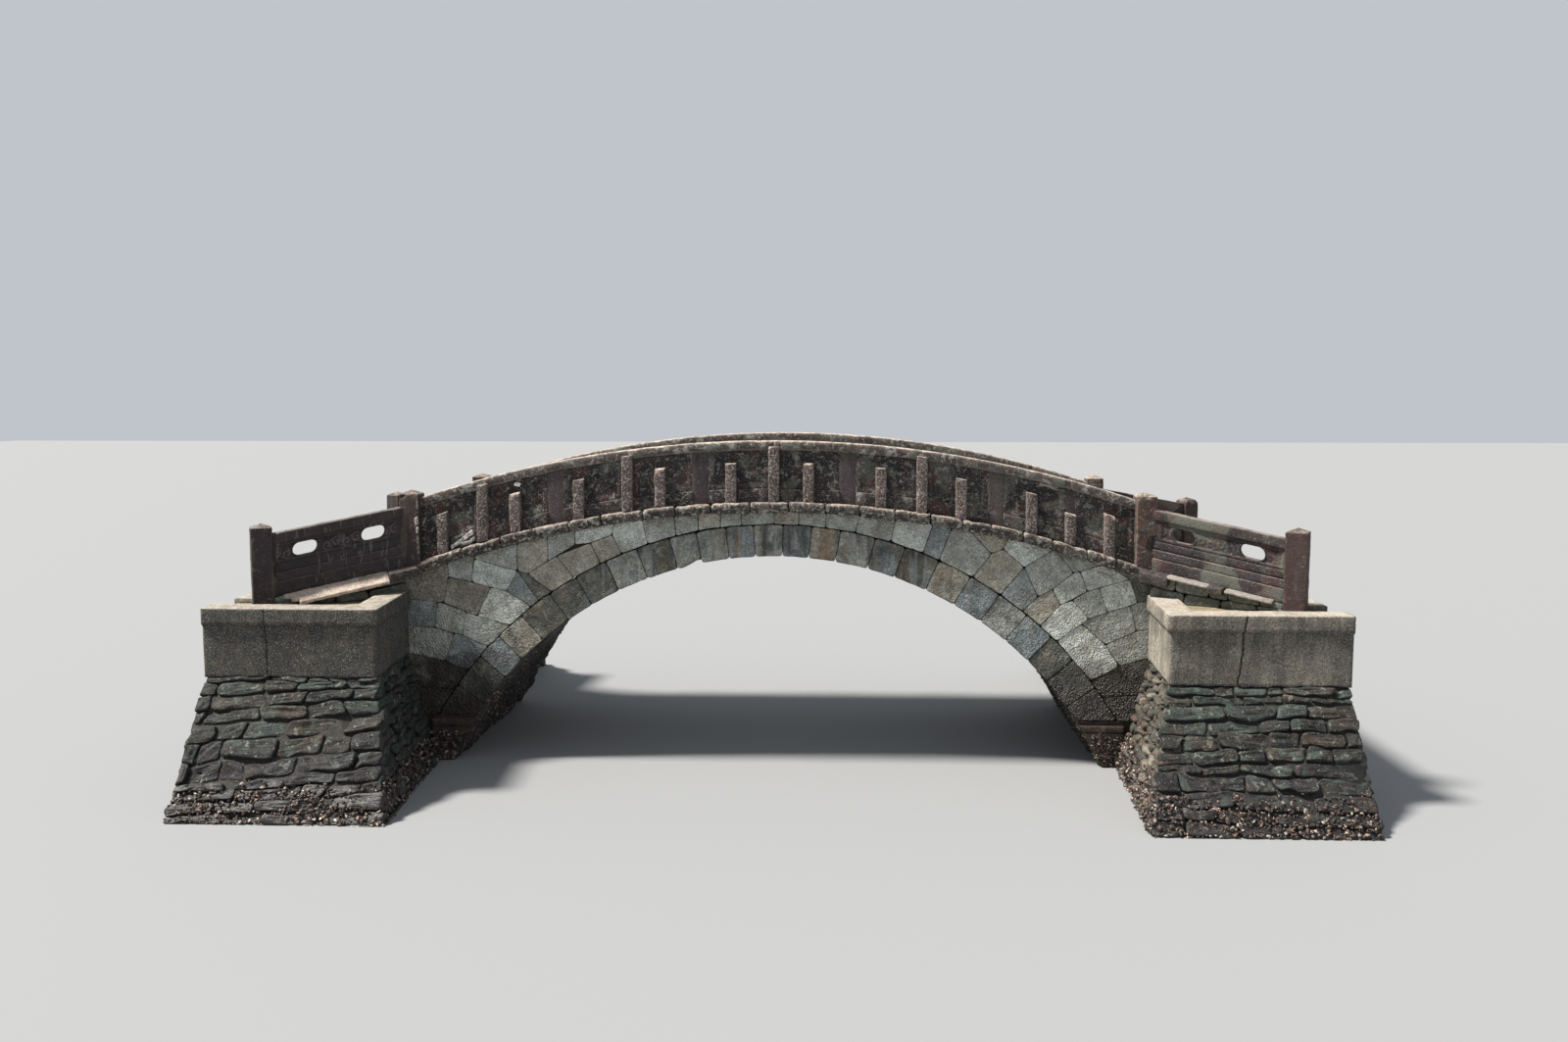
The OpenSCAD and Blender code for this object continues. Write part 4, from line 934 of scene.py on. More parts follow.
for side, row in SIDES:
    strips, posts = [], []
    for k in range(1 - BAYS // 2, BAYS // 2):
        x, half = k * BAY, post_half(k)
        strips.append(post_block(side, x, half, STRIP_DEPTH, PANEL_TOP, STRIP_TINT, 0.8, 0.08))
        if k % 2 == 0:
            height = STUB_HEIGHT if (side, k) == STUB else RAIL_TOP - POST_DROP
            posts.append(post_block(side, x, half, POST_DEPTH, height, POST_TINT, 3.0))
    for x in near_strut_places:
        posts.append(post_block(side, -side * x, POST_WIDTH / 2, STRUT_DEPTH, STRUT_HEIGHT, STRUT_TINT, 3.5))
    make_piece(row + "_flush_strips", joined(strips), post_stone)
    make_piece(row + "_posts_and_struts", joined(posts), strut_stone, row + "_posts")

# Broken bits: shards of a crumbled sill board lie on the string course, one flake of the
# panel shows fresh stone, and smears of pale mortar fill the joint beside the left post.
shard_stone = stone_finish("shard_stone", [
    ((70, 66, 62), 7.0, 0.54, 0.05, 0.7)], mottle=0.8, pits=0.6, speckle=0.5)
# place along the bridge, height above the roadway, distance out, length, height, thickness, lean and tone
shards = [
    (-4.70, 0.080, 1.990, 0.19, 0.06, 0.06, 0.30, 168),
    (-4.57, 0.050, 2.005, 0.14, 0.05, 0.05, -0.1, 130),
    (-4.54, 0.150, 1.975, 0.17, 0.07, 0.04, 0.35, 182),
    (-4.67, 0.180, 1.970, 0.13, 0.04, 0.04, 0.15, 150),
    (-4.48, 0.060, 2.010, 0.12, 0.05, 0.05, 0.50, 150),
    (-3.80, 0.685, 1.925, 0.10, 0.05, 0.02, -0.4, 226),
    (-5.278, 0.58, 2.070, 0.050, 0.12, 0.02, 0.1, 178),
    (-5.270, 0.45, 2.070, 0.03, 0.09, 0.02, -0.1, 200),
    (-5.262, 0.84, 2.070, 0.03, 0.20, 0.02, 0.05, 108),
    (-5.262, 0.24, 2.070, 0.03, 0.26, 0.02, 0.0, 96)]
bits = []
for x, height, out, length, tall, thick, lean, grey in shards:
    bit = worn_block((-length / 2, length / 2), (-thick / 2, thick / 2), (-tall / 2, tall / 2), 0.025, 0.008,
                     rng, chips=5.0, relief=0.006, relief_size=0.04, chip_size=0.06)
    a, b, z = bit["points"].T
    leaning = np.stack([x + a * math.cos(lean) - z * math.sin(lean), out + b,
                        height + z * math.cos(lean) + a * math.sin(lean)], -1)
    bit["points"] = cambered(leaning, -1)
    bits.append(shaded(bit, tone(grey, grey - 3, grey - 8), rng, 0.05))
make_piece("near_broken_bits", joined(bits), shard_stone)

# Main posts and end posts: square shafts of reddish sandstone with a low pyramid cut on
# top. The main posts have chipped, pale tops; the end posts turn with the wings.
PIER_Y = HALF_WIDTH - 0.02
POST_FOOT = 2.926
POST_TOP = ROAD_CROWN - CAMBER + 1.11
RAMP_FALL, END_POST_HEIGHT, FILL_TOP = 0.40, 1.10, 2.50
WING_RUN, WING_FLARE = 1.865, 0.970
WING_TURN, WING_LENGTH = math.atan2(WING_FLARE, WING_RUN), math.hypot(WING_RUN, WING_FLARE)
END_POST_TOP = ROAD_CROWN - CAMBER - RAMP_FALL + END_POST_HEIGHT
CAP_HEIGHT, PIER_WEAR = 0.06, 0.014
# a hollow broken out of the near right main post: its place on the post and its half sizes
HOLLOW_PLACE, HOLLOW_SIZE = np.array([0.11, -0.145, 3.33]), np.array([0.09, 0.09, 0.12])
MAIN_POST_TINT, END_POST_TINT = tone(58, 47, 45), {"left": tone(54, 46, 49), "right": tone(60, 45, 42)}


def pier_block(z0, z1, rng, chips):
    """A square shaft whose top is drawn down towards its four edges, as a low pyramid."""
    half = PIER_WIDTH / 2
    side = spaced(-half, half, 0.03, PIER_WEAR)
    block = worn_block((-half, half), (-half, half), (z0, z1), 0.03, PIER_WEAR, rng, chips=chips,
                       relief=0.006, relief_size=0.12, chip_size=0.16,
                       lines=[side, side, spaced(z0, z1, 0.032, PIER_WEAR)])
    p = block["points"]
    from_axis = np.maximum(np.abs(p[:, 0]), np.abs(p[:, 1])) / half
    near_top = np.clip((p[:, 2] - (z1 - 0.12)) / 0.12, 0, 1)
    p[:, 2] -= near_top * CAP_HEIGHT * from_axis
    return block


def on_wing(sx, sy, along, across, height):
    """Wing coordinates into space: along the wing from the main post, across it outwards, and straight up."""
    x = POST_X + along * math.cos(WING_TURN) - across * math.sin(WING_TURN)
    y = PIER_Y + along * math.sin(WING_TURN) + across * math.cos(WING_TURN)
    return np.stack([sx * x, sy * y, height], -1)


mottled_post_stone = stone_finish("mottled_post_stone", [
    ((92, 90, 76), 3.0, 0.51, 0.04, 0.65, (1.0, 1.0, 0.6)), ((92, 54, 46), 4.0, 0.54, 0.05, 0.6),
    ((34, 30, 29), 6.0, 0.56, 0.04, 0.6), ((160, 154, 144), 16.0, 0.61, 0.03, 0.5)],
    mottle=0.6, pits=0.6, edge=(140, 122, 112), edge_amount=0.35, bump=0.9, speckle=0.3,
    top=(170, 156, 142), top_amount=0.8)
for sy, row in SIDES:
    ends = []
    for sx, hand in HANDS:
        name = f"{row}_{hand}_main_post"
        block = pier_block(POST_FOOT, POST_TOP, rng, chips=6.0)
        p = block["points"]
        if name == "near_right_main_post":
            hollow = np.linalg.norm((p - HOLLOW_PLACE) / HOLLOW_SIZE, axis=1)
            ragged = hollow + 0.25 * rough(p + 3, 0.05, 2)
            p += 0.055 * np.clip((1.1 - ragged) / 0.35, 0, 1)[:, None] * np.array([-0.3, 1, 0])
            block["worn"] = np.maximum(block["worn"], np.clip((1.15 - ragged) / 0.2, 0, 1) * 0.4)
        p += np.array([sx * POST_X, sy * PIER_Y, 0])
        finish = post_stone if sx < 0 else mottled_post_stone
        make_piece(name + "_shaft", dict(block, tint=MAIN_POST_TINT), finish, name)
        block = pier_block(FILL_TOP, END_POST_TOP, rng, chips=1.5)
        p = block["points"]
        if (sx, sy) == (1, 1):
            broken = np.clip((p[:, 2] - END_POST_TOP + 0.20) / 0.20 + 0.2 * rough(p, 0.08, 2), 0, 1)[:, None]
            p[:, :2] *= 1 - 0.55 * broken ** 2
            p[:, 2:] -= 0.05 * broken
        block["points"] = on_wing(sx, sy, WING_LENGTH + p[:, 0], p[:, 1], p[:, 2])
        ends.append(shaded(block, END_POST_TINT[hand], rng, 0.05))
    make_piece(row + "_end_post_shafts", joined(ends), post_stone, row + "_end_posts")

# Wings: a sill board and a panel run down and outwards from each main post. The frieze
# under the rail is sunk, carved with scrolls and pierced by two ovals; boards lie below.
WING_FOOT = ROAD_CROWN - CAMBER - 0.01
WING_DROP = 0.37 / WING_LENGTH
WING_HEIGHT, FRIEZE_HEIGHT = 0.90, 0.30
HOLES, HOLE_LENGTH, HOLE_HEIGHT = (0.57, 1.52), 0.34, 0.19
WING_START, WING_END = 0.13, WING_LENGTH - PIER_WIDTH / 2 + 0.01
BODY_ON_WING = (BODY_X - POST_X) / math.cos(WING_TURN)
PANEL_HALF, SILL_HALF, WING_WEAR = 0.06, 0.09, 0.016
FRIEZE_TOP = WING_HEIGHT - RAIL_HEIGHT
FRIEZE_FOOT, HOLE_LEVEL = FRIEZE_TOP - FRIEZE_HEIGHT, FRIEZE_TOP - HOLE_HEIGHT / 2 - 0.055
FRIEZE_SINK, FRIEZE_MARGIN, BOARD_LINE, LIP = 0.019, 0.04, 0.33, 0.03
SCROLL_PITCH, SCROLL_RADIUS = 0.135, 0.072
# heights of the panel's grid under the frieze, close together at the line between its boards
BOARD_LEVELS = [SILL_HEIGHT - 0.02, 0.24, 0.30, 0.316, 0.323, BOARD_LINE, 0.337, 0.36, 0.41, 0.441, 0.448]
BOARD_TINT, SILL_TINT, WING_RAIL_TINT = tone(48, 42, 45), tone(50, 43, 45), tone(54, 47, 48)
left_wing_stone = stone_finish("left_wing_stone", [
    ((32, 28, 31), 1.7, 0.54, 0.06, 0.3), ((78, 66, 64), 3.4, 0.57, 0.05, 0.35),
    ((132, 126, 122), 15.0, 0.60, 0.03, 0.4, (1.0, 1.0, 0.22))],
    mottle=0.35, pits=0.3, edge=(92, 80, 75), edge_amount=0.3, bump=0.7, speckle=0.1,
    top=(134, 120, 114), top_amount=0.55)
right_wing_stone = stone_finish("right_wing_stone", [
    ((104, 107, 96), 1.1, 0.51, 0.03, 0.85), ((26, 22, 22), 1.7, 0.53, 0.03, 0.9),
    ((78, 46, 40), 2.2, 0.57, 0.03, 0.6), ((156, 152, 142), 34.0, 0.64, 0.03, 0.4)],
    mottle=0.6, pits=0.7, edge=(100, 86, 80), edge_amount=0.2, bump=0.9, speckle=0.3,
    top=(150, 134, 124), top_amount=0.6)


def on_slope(sx, sy, along, across, height):
    """Wing coordinates into space, with the height taken from the sloping foot of the wing."""
    return on_wing(sx, sy, along, across, WING_FOOT - WING_DROP * along + height)


def from_spine(s, h, hole):
    """Way from an oval's straight spine to points of the panel."""
    straight = (HOLE_LENGTH - HOLE_HEIGHT) / 2
    return np.stack([(s - hole) - np.clip(s - hole, -straight, straight), h - HOLE_LEVEL], -1)


def wing_rail_block(sx, sy, low, high, step, chips):
    """A board the length of the wing, on its slope."""
    block = worn_block((WING_START, WING_END), (-SILL_HALF, SILL_HALF), (low, high), step, WING_WEAR, rng,
                       chips=chips, relief=0.005, relief_size=0.2)
    block["points"] = on_slope(sx, sy, *block["points"].T)
    return block


for sy, row in SIDES:
    for sx, hand in HANDS:
        s = np.linspace(WING_START, WING_END, 160)
        h = np.concatenate([BOARD_LEVELS, np.linspace(FRIEZE_FOOT, FRIEZE_TOP + 0.01, 26)])
        middles = np.meshgrid((s[1:] + s[:-1]) / 2, (h[1:] + h[:-1]) / 2, indexing="ij")
        s, h = np.meshgrid(s, h, indexing="ij")
        keep = np.ones(middles[0].shape, bool)
        for hole in HOLES:
            hollow = np.linalg.norm(from_spine(*middles, hole), axis=-1) < HOLE_HEIGHT / 2
            keep &= ~hollow
            around = np.pad(hollow, 1).astype(int)
            around = around[1:, 1:] + around[:-1, 1:] + around[1:, :-1] + around[:-1, :-1]
            way = from_spine(s, h, hole)
            length = np.maximum(np.linalg.norm(way, axis=-1), 1e-6)
            pull = np.where((around > 0) & (around < 4), HOLE_HEIGHT / 2 / length - 1, 0)
            s, h = s + way[..., 0] * pull, h + way[..., 1] * pull
        flat = np.stack([s + 9 * sx, h + 5 * sy, 0 * s], -1)
        sideways = np.minimum(s - BODY_ON_WING - 0.10, WING_LENGTH - PIER_WIDTH / 2 - FRIEZE_MARGIN - s)
        upright = np.minimum(h - (FRIEZE_FOOT + FRIEZE_MARGIN), FRIEZE_TOP - FRIEZE_MARGIN - h)
        inset = np.minimum(sideways, upright)
        field = np.clip(inset / 0.010, 0, 1)
        from_rim = [np.linalg.norm(from_spine(s, h, hole), axis=-1) - HOLE_HEIGHT / 2 for hole in HOLES]
        lip = np.min(np.abs(from_rim), axis=0) / LIP
        carve = scrolls(s, h - HOLE_LEVEL + 0.02, SCROLL_PITCH, SCROLL_RADIUS, 1.25) * np.clip(lip, 0, 1)
        carve = carve * np.clip(rough(flat, 0.5, 2) + 0.75, 0.25, 1) * (1.0 if sx < 0 else 0.5)
        lines = sum(np.exp(-((h - at) / 0.007) ** 2) for at in (FRIEZE_FOOT, BOARD_LINE))
        lower = np.clip((BOARD_LINE - h) / 0.008, 0, 1)
        sunk = 1 - np.clip(1 - lip, 0, 1)
        relief = (0.004 * rough(flat, 0.12, 4) - FRIEZE_SINK * field * sunk + FRIEZE_SINK * field * carve
                  - 0.012 * lines + 0.012 * lower)
        # painted shade darkens the sunk frieze and the groove lines, and painted highlight lightens the
        # carved scrolls; the boards below the line are lighter too
        shade = np.clip(1 - 0.55 * field + 4.8 * field * carve - 0.6 * lines + 0.3 * lower, 0.3, 4)
        front, behind = [on_slope(sx, sy, s, face * (PANEL_HALF + relief), h) for face in (1, -1)]
        panel = plate(front, behind, keep, worn=np.clip(1 - np.abs(inset) / 0.02, 0, 1), shade=shade)
        sill = wing_rail_block(sx, sy, 0, SILL_HEIGHT + 0.01, 0.075, 1.5)
        rail = wing_rail_block(sx, sy, FRIEZE_TOP, WING_HEIGHT, 0.055, 1.0)
        boards = joined([shaded(panel, BOARD_TINT, rng, 0.05), shaded(sill, SILL_TINT, rng, 0.05)])
        name = f"{row}_{hand}_wing"
        finish = left_wing_stone if sx < 0 else right_wing_stone
        make_piece(name + "_boards", boards, finish, name)
        make_piece(name + "_rail_length", dict(rail, tint=WING_RAIL_TINT), finish,
                   row + "_wing_rails" if sx < 0 else None)

# Wing kerbs: a low footing of grey-green stones under each wing, with ledge stones laid
# along its outer edge. Some ledge stones are bleached, some dark, and some have slipped.
LEDGE_TONES = {"dark": tone(54, 48, 46), "cream": tone(184, 168, 154), "grey": tone(140, 133, 127)}
# each stone: where it starts and ends along the wing, its tone, its drop outwards, its width and thickness
LEDGES = {(-1, -1): [(0.00, 0.40, "dark", 0.02, 0.26, 0.14), (0.40, 1.84, "cream", 0.12, 0.27, 0.05)],
          (1, -1): [(0.02, 0.42, "dark", 0.03, 0.22, 0.15), (0.40, 0.97, "grey", 0.02, 0.18, 0.035),
                    (0.98, 1.17, "dark", 0.0, 0.22, 0.10), (1.20, 1.84, "grey", 0.02, 0.18, 0.035)]}
# where a ledge stone starts across the wing, and how far it stands up at the left and at the right
LEDGE_START, LEDGE_RISE = 0.095, {-1: 0.015, 1: 0.03}
# half a footing's thickness, and the height on which its stones are laid out
FOOTING_FACE, FOOTING_RISE, FOOTING_TINT = 0.142, 0.32, tone(112, 116, 107)
pale_ledge_stone = stone_finish("pale_ledge_stone", [((96, 82, 72), 3.0, 0.62, 0.03, 0.6)],
                                mottle=0.3, edge=(110, 98, 88), edge_amount=0.1, bump=0.9, speckle=0.1,
                                strokes=1.0)
dark_ledge_stone = stone_finish("dark_ledge_stone", [
    ((30, 27, 27), 4.0, 0.54, 0.06, 0.6), ((120, 112, 104), 12.0, 0.60, 0.04, 0.4)],
    mottle=0.7, edge=(110, 98, 90), edge_amount=0.3, speckle=0.4)
footing_stone = stone_finish("footing_stone", [
    ((64, 68, 64), 3.0, 0.54, 0.06, 0.6), ((140, 142, 132), 9.0, 0.60, 0.04, 0.5)],
    mottle=0.7, edge=(44, 42, 38), edge_amount=0.5, bump=0.9, speckle=0.4)
for sy, row in SIDES:
    footings, ledges = [], {"pale": [], "dark": []}
    for sx in (-1, 1):
        for face in (1, -1):
            def on_footing(u, v, out):
                """Footing coordinates into space: u along the wing, and v up from the fill to the sill."""
                up = np.clip(v / FOOTING_RISE, 0, 1) * (WING_FOOT - WING_DROP * u - FILL_TOP)
                across = face * (FOOTING_FACE + np.minimum(out, 0.008))
                return on_wing(sx, sy, u, across, FILL_TOP + up - 0.002)
            outlines = coursed(WING_START, WING_END, 0.0, FOOTING_RISE, 2, 0.42, rng, waver=0.3, lean=0.02)
            stones = face_stones(outlines, on_footing, 0.12, joint=0.008, round_edge=0.012, relief=0.008,
                                 wander=0.01, set_out=0.004, steps=20, seed=81 + sx + 2 * sy + 4 * face,
                                 inner=2, rims=3)
            footings.append(tinted(stones, [FOOTING_TINT * rng.uniform(0.65, 1.15) for _ in outlines]))
        for s0, s1, kind, drop, width, thick in LEDGES.get((sx, sy), LEDGES[(1, -1)]):
            block = worn_block((s0, s1), (LEDGE_START, LEDGE_START + width), (-thick, 0), 0.045, 0.012, rng,
                               chips=2.6, relief=0.010, chip_size=0.12)
            a, b, z = block["points"].T
            share = (b - LEDGE_START) / width
            if kind == "cream":
                stepped = 0.10 * np.round(2.4 * share)
                a = a - np.where(a > s1 - 0.2, 1, 0) * stepped * (a - s1 + 0.2) / 0.2
                bed = b - LEDGE_START - 0.45 * width - 0.02 * np.sin(5 * a)
                z = z - 0.012 * np.exp(-(bed / 0.012) ** 2)
            z = z + LEDGE_RISE[sx] - drop * share
            block = dict(block, points=on_slope(sx, sy, a, b, z), long_side=np.stack([a, b, z], -1))
            ledges["dark" if kind == "dark" else "pale"].append(shaded(block, LEDGE_TONES[kind], rng, 0.05))
    make_piece(row + "_wing_footings", joined(footings), footing_stone)
    make_piece(row + "_pale_ledge_stones", joined(ledges["pale"]), pale_ledge_stone)
    make_piece(row + "_dark_ledge_stones", joined(ledges["dark"]), dark_ledge_stone,
               row + "_wing_kerbs")

# Quay walls: dry rubble of greenish schist slabs, battered in front and at the side. By
# the corners they lie in flat courses; further left old slabs stand and lean.
QUAY_X, QUAY_SPLAY, QUAY_FRONT = SPAN / 2 + 0.635, math.radians(4), 3.70
RUBBLE_HEIGHT, FRONT_BATTER = 1.65, 1.32
# how far the foot of a side stands out beyond its top, on the near and on the far side of the bridge
SIDE_BATTER = {-1: 0.42, 1: 0.04}
HALF_LENGTH = 7.75
SLOPE = math.hypot(RUBBLE_HEIGHT, FRONT_BATTER)
# length and height of the side on which its stones are laid out, and thickness of all the quays' stones
SIDE_LENGTH, SIDE_RISE, STONE_DEPTH = 2.4, 1.70, 0.2


def quay_side_x(y):
    """Place along the bridge of the coping's side line, at a distance from the middle line."""
    return QUAY_X - (y - HALF_WIDTH) * math.tan(QUAY_SPLAY)


def front_face(sx, sy):
    """Face coordinates of a battered front: u along the quay, v up the slope, out square to it."""
    sin, cos = RUBBLE_HEIGHT / SLOPE, FRONT_BATTER / SLOPE

    def place(u, v, out):
        """v and the way out, turned by the slope's angle and kept inside the foot, the end and the floor."""
        y = np.minimum(QUAY_FRONT + FRONT_BATTER - v * cos + out * sin, QUAY_FRONT + FRONT_BATTER)
        return np.stack([sx * np.minimum(u, HALF_LENGTH), sy * y, np.maximum(v * sin + out * cos, 0)], -1)
    return place


def side_face(sx, sy):
    """Face coordinates of the side towards the arch: a ruled face between the splayed coping and the foot,
    with u along it from the bridge to the corner and v from the foot up to the coping."""
    def place(u, v, out):
        """The batter shrinks evenly with the height, at the side and at the corner."""
        v = v / SIDE_RISE
        y_edge = QUAY_FRONT + FRONT_BATTER * (1 - v)
        y = HALF_WIDTH + u / SIDE_LENGTH * (y_edge - HALF_WIDTH)
        x = quay_side_x(y) - SIDE_BATTER[sy] * (1 - v) - out
        return np.stack([sx * x, sy * y, np.maximum(v, 0) * RUBBLE_HEIGHT], -1)
    return place


# courses of the near fronts from the top down: the lower bed by the corner and at the end, up the slope, then
# the joints and the tones of the stones
near_right_courses = [
    (1.97, 1.95, [5.95, 6.20, 6.64, 6.85, 7.50], "gogoog"),
    (1.80, 1.87, [5.61, 6.32, 6.55, 6.82, 7.18], "oggood"),
    (1.57, 1.66, [6.04, 6.70, 7.10], "gggo"),
    (1.37, 1.48, [5.78, 6.45, 6.84, 7.34], "dgddo"),
    (1.15, 1.27, [5.40, 5.88, 6.56, 6.96, 7.52], "doodod"),
    (0.98, 1.06, [5.50, 6.11, 6.48, 6.98, 7.30], "dddodd"),
    (0.87, 0.82, [5.42, 5.62, 6.08, 6.77], "pdddp"),
    (0.63, 0.60, [5.31, 5.80, 6.16, 6.48, 7.06], "pppppp"),
    (0.42, 0.33, [5.33, 5.96, 6.93], "pppp"),
    (0.23, 0.16, [5.28, 5.72, 6.40, 7.08], "ppppp"),
    (0.01, 0.01, [5.30, 5.96, 6.72], "pppp")]
near_left_courses = [
    (2.05, 2.02, [5.62, 6.02, 6.33, 6.82], "ggggd"),
    (1.98, 1.80, [5.72, 6.42, 6.88, 7.52], "ggogd"),
    (1.80, 1.58, [5.62, 6.25, 6.83, 7.55], "gddod"),
    (1.57, 1.40, [5.68, 6.22, 6.86, 7.62], "gdodd"),
    (1.33, 1.12, [5.60, 6.42, 7.00, 7.38], "oogdd"),
    (1.05, 0.84, [5.50, 5.88, 6.50, 7.24, 7.55], "dooddd"),
    (0.84, 0.52, [5.40, 6.20, 6.86, 7.18, 7.60], "pppppp"),
    (0.65, 0.40, [5.62, 6.28, 7.05], "pppp"),
    (0.46, 0.27, [5.28, 5.72, 6.05, 6.86], "ppppp"),
    (0.22, 0.12, [5.60, 6.60, 7.15], "pppp"),
    (0.01, 0.01, [5.10, 5.66, 6.46, 6.88], "ppppp")]


def arris(sy, v):
    """Place of the corner between front and side along the quay, at a distance up the front's slope."""
    rise = v / SLOPE
    return quay_side_x(QUAY_FRONT + FRONT_BATTER * (1 - rise)) - SIDE_BATTER[sy] * (1 - rise)


def laid(courses, sy, rng):
    """Outlines of stones laid in uneven courses: each bed runs from its height at the corner to that at the
    end and wavers a little, and each joint leans by chance."""
    outlines, keys = [], []
    upper = (SLOPE, SLOPE)
    for low, low_end, joints, tones in courses:
        cut = np.array([arris(sy, low) + 0.01] + joints + [HALF_LENGTH - 0.002])
        lean = rng.normal(0, 0.02, len(cut)) * np.array([0] + [1] * len(joints) + [0])
        share = (cut - cut[0]) / (cut[-1] - cut[0])
        sag = rng.uniform(-0.018, 0.018, (2, len(cut)))
        under = low + (low_end - low) * share + sag[0] * (low > 0.05) + 0.006
        over = upper[0] + (upper[1] - upper[0]) * share + sag[1] - 0.012
        foot, head = cut - lean, cut + lean
        for i in range(len(tones)):
            inset = rng.uniform(0, 0.014, 4)
            outlines.append([(foot[i] + inset[0], under[i]), (foot[i + 1] - inset[1], under[i + 1]),
                             (head[i + 1] - inset[2], over[i + 1] - inset[3]), (head[i], over[i])])
        keys += tones
        upper = (low, low_end)
    return outlines, keys


SLAB_TONES = {"g": tone(37, 44, 41), "o": tone(43, 38, 32), "d": tone(28, 29, 27), "p": tone(27, 25, 27),
              "w": tone(84, 78, 68), "l": tone(64, 62, 54), "r": tone(80, 62, 50), "h": tone(128, 122, 108)}
schist = stone_finish("schist", [
    ((34, 35, 32), 4.0, 0.54, 0.07, 0.7), ((80, 60, 42), 6.0, 0.60, 0.05, 0.4),
    ((86, 102, 94), 5.0, 0.58, 0.05, 0.4), ((150, 152, 142), 13.0, 0.64, 0.03, 0.5)],
    mottle=0.9, pits=0.7, edge=(26, 26, 24), edge_amount=0.4, wet_line=(0.2, 0.6, 0.6), wet=(38, 33, 32),
    speckle=0.4, bedding=1.15)
corner_rubble = stone_finish("corner_rubble", [
    ((54, 47, 39), 5.0, 0.55, 0.07, 0.5), ((122, 118, 104), 8.0, 0.60, 0.06, 0.4),
    ((30, 28, 26), 11.0, 0.60, 0.05, 0.5)],
    mottle=0.9, pits=0.8, edge=(34, 31, 28), edge_amount=0.3, wet_line=(0.2, 0.6, 0.6), wet=(38, 33, 32),
    speckle=0.6)
rubble_core = stone_finish("rubble_core", [((16, 15, 14), 6.0, 0.5, 0.08, 0.7)], bump=0.8)
# the core lies this far behind the battered faces
CORE_TINT, CORE_SINK = tone(46, 44, 40), 0.06
FRONT_STONES = dict(joint=0.010, round_edge=0.017, relief=0.022, relief_size=0.14, wander=0.050,
                    wander_size=0.23, set_out=0.030, tip=0.09, soften=2, layered=0.013)
SIDE_STONES = {"left": dict(joint=0.012, round_edge=0.018, relief=0.020, relief_size=0.14, wander=0.045,
                            wander_size=0.25, set_out=0.026, tip=0.07, soften=2, layered=0.011, steps=28,
                            inner=3),
               "right": dict(joint=0.020, round_edge=0.045, relief=0.026, relief_size=0.11, wander=0.040,
                             wander_size=0.16, set_out=0.040, tip=0.12, soften=4, steps=20, inner=2, rims=3)}
# length of a side's stones, their tones and their finish
SIDE_KINDS = {"left": (0.52, "gddpg", schist), "right": (0.28, "wlwlwlrlh", corner_rubble)}
for sy, row in SIDES:
    for sx, hand in HANDS:
        name = f"{row}_{hand}_quay"
        if row == "near":
            outlines, keys = laid(near_left_courses if sx < 0 else near_right_courses, sy, rng)
            steps, inner = 40, 7
        else:
            outlines = coursed(5.0, HALF_LENGTH - 0.01, 0.01, SLOPE, 11, 0.5, rng, waver=0.3, lean=0.03,
                               split=0.3)
            keys = rng.choice(list("goddp"), len(outlines))
            steps, inner = 32, 5
        front = face_stones(outlines, front_face(sx, sy), STONE_DEPTH, seed=31 + sx + 3 * sy, steps=steps,
                            inner=inner, **FRONT_STONES)
        length, kinds, finish = SIDE_KINDS[hand]
        beds = coursed(0.0, SIDE_LENGTH - 0.02, 0.01, SIDE_RISE, 12, length, rng, waver=0.45, lean=0.04,
                       split=0.15)
        side = face_stones(beds, side_face(sx, sy), STONE_DEPTH, seed=51 + sx + 3 * sy, **SIDE_STONES[hand])
        side = tinted(side, [SLAB_TONES[k] for k in rng.choice(list(kinds), len(beds))])
        make_piece(name + "_slabs", tinted(front, [SLAB_TONES[k] for k in keys]), schist,
                   name + "_wall")
        make_piece(name + "_return", side, finish)
        (a, b, v), quads = shell(np.linspace(0, 1, 5), np.linspace(0, 1, 12), np.linspace(0, 1, 9))
        y = HALF_WIDTH + b * (QUAY_FRONT + FRONT_BATTER * (1 - v) - CORE_SINK - HALF_WIDTH)
        x_side = quay_side_x(y) - SIDE_BATTER[sy] * (1 - v) + CORE_SINK
        x = x_side + a * (HALF_LENGTH - 0.07 - x_side)
        core = {"points": np.stack([sx * x, sy * y, v * RUBBLE_HEIGHT], -1), "quads": quads}
        make_piece(name + "_core", dict(core, tint=CORE_TINT), rubble_core)

# Quay copings: an upright wall of poured concrete with coarse grit, and a band along its
# top. It has a shrinkage crack and a shutter joint, both darkened with painted shade, and its
# top is pale from bleaching and from painted highlight.
QUAY_TOP, BAND_HEIGHT, BAND_OUT, COPING_WIDTH = 2.60, 0.23, 0.04, 0.35
# each crack: its place along the quay, how far it strays to the sides, and its depth
CRACKS = {"left": (6.87, 0.04, 0.03), "right": (6.32, 0.11, 0.04)}
# columns of the grid beside a crack
CRACK_STEPS = np.array([-0.026, -0.009, 0, 0.009, 0.026])
CONCRETE_TINTS = {"left": tone(54, 54, 52), "right": tone(116, 110, 100)}


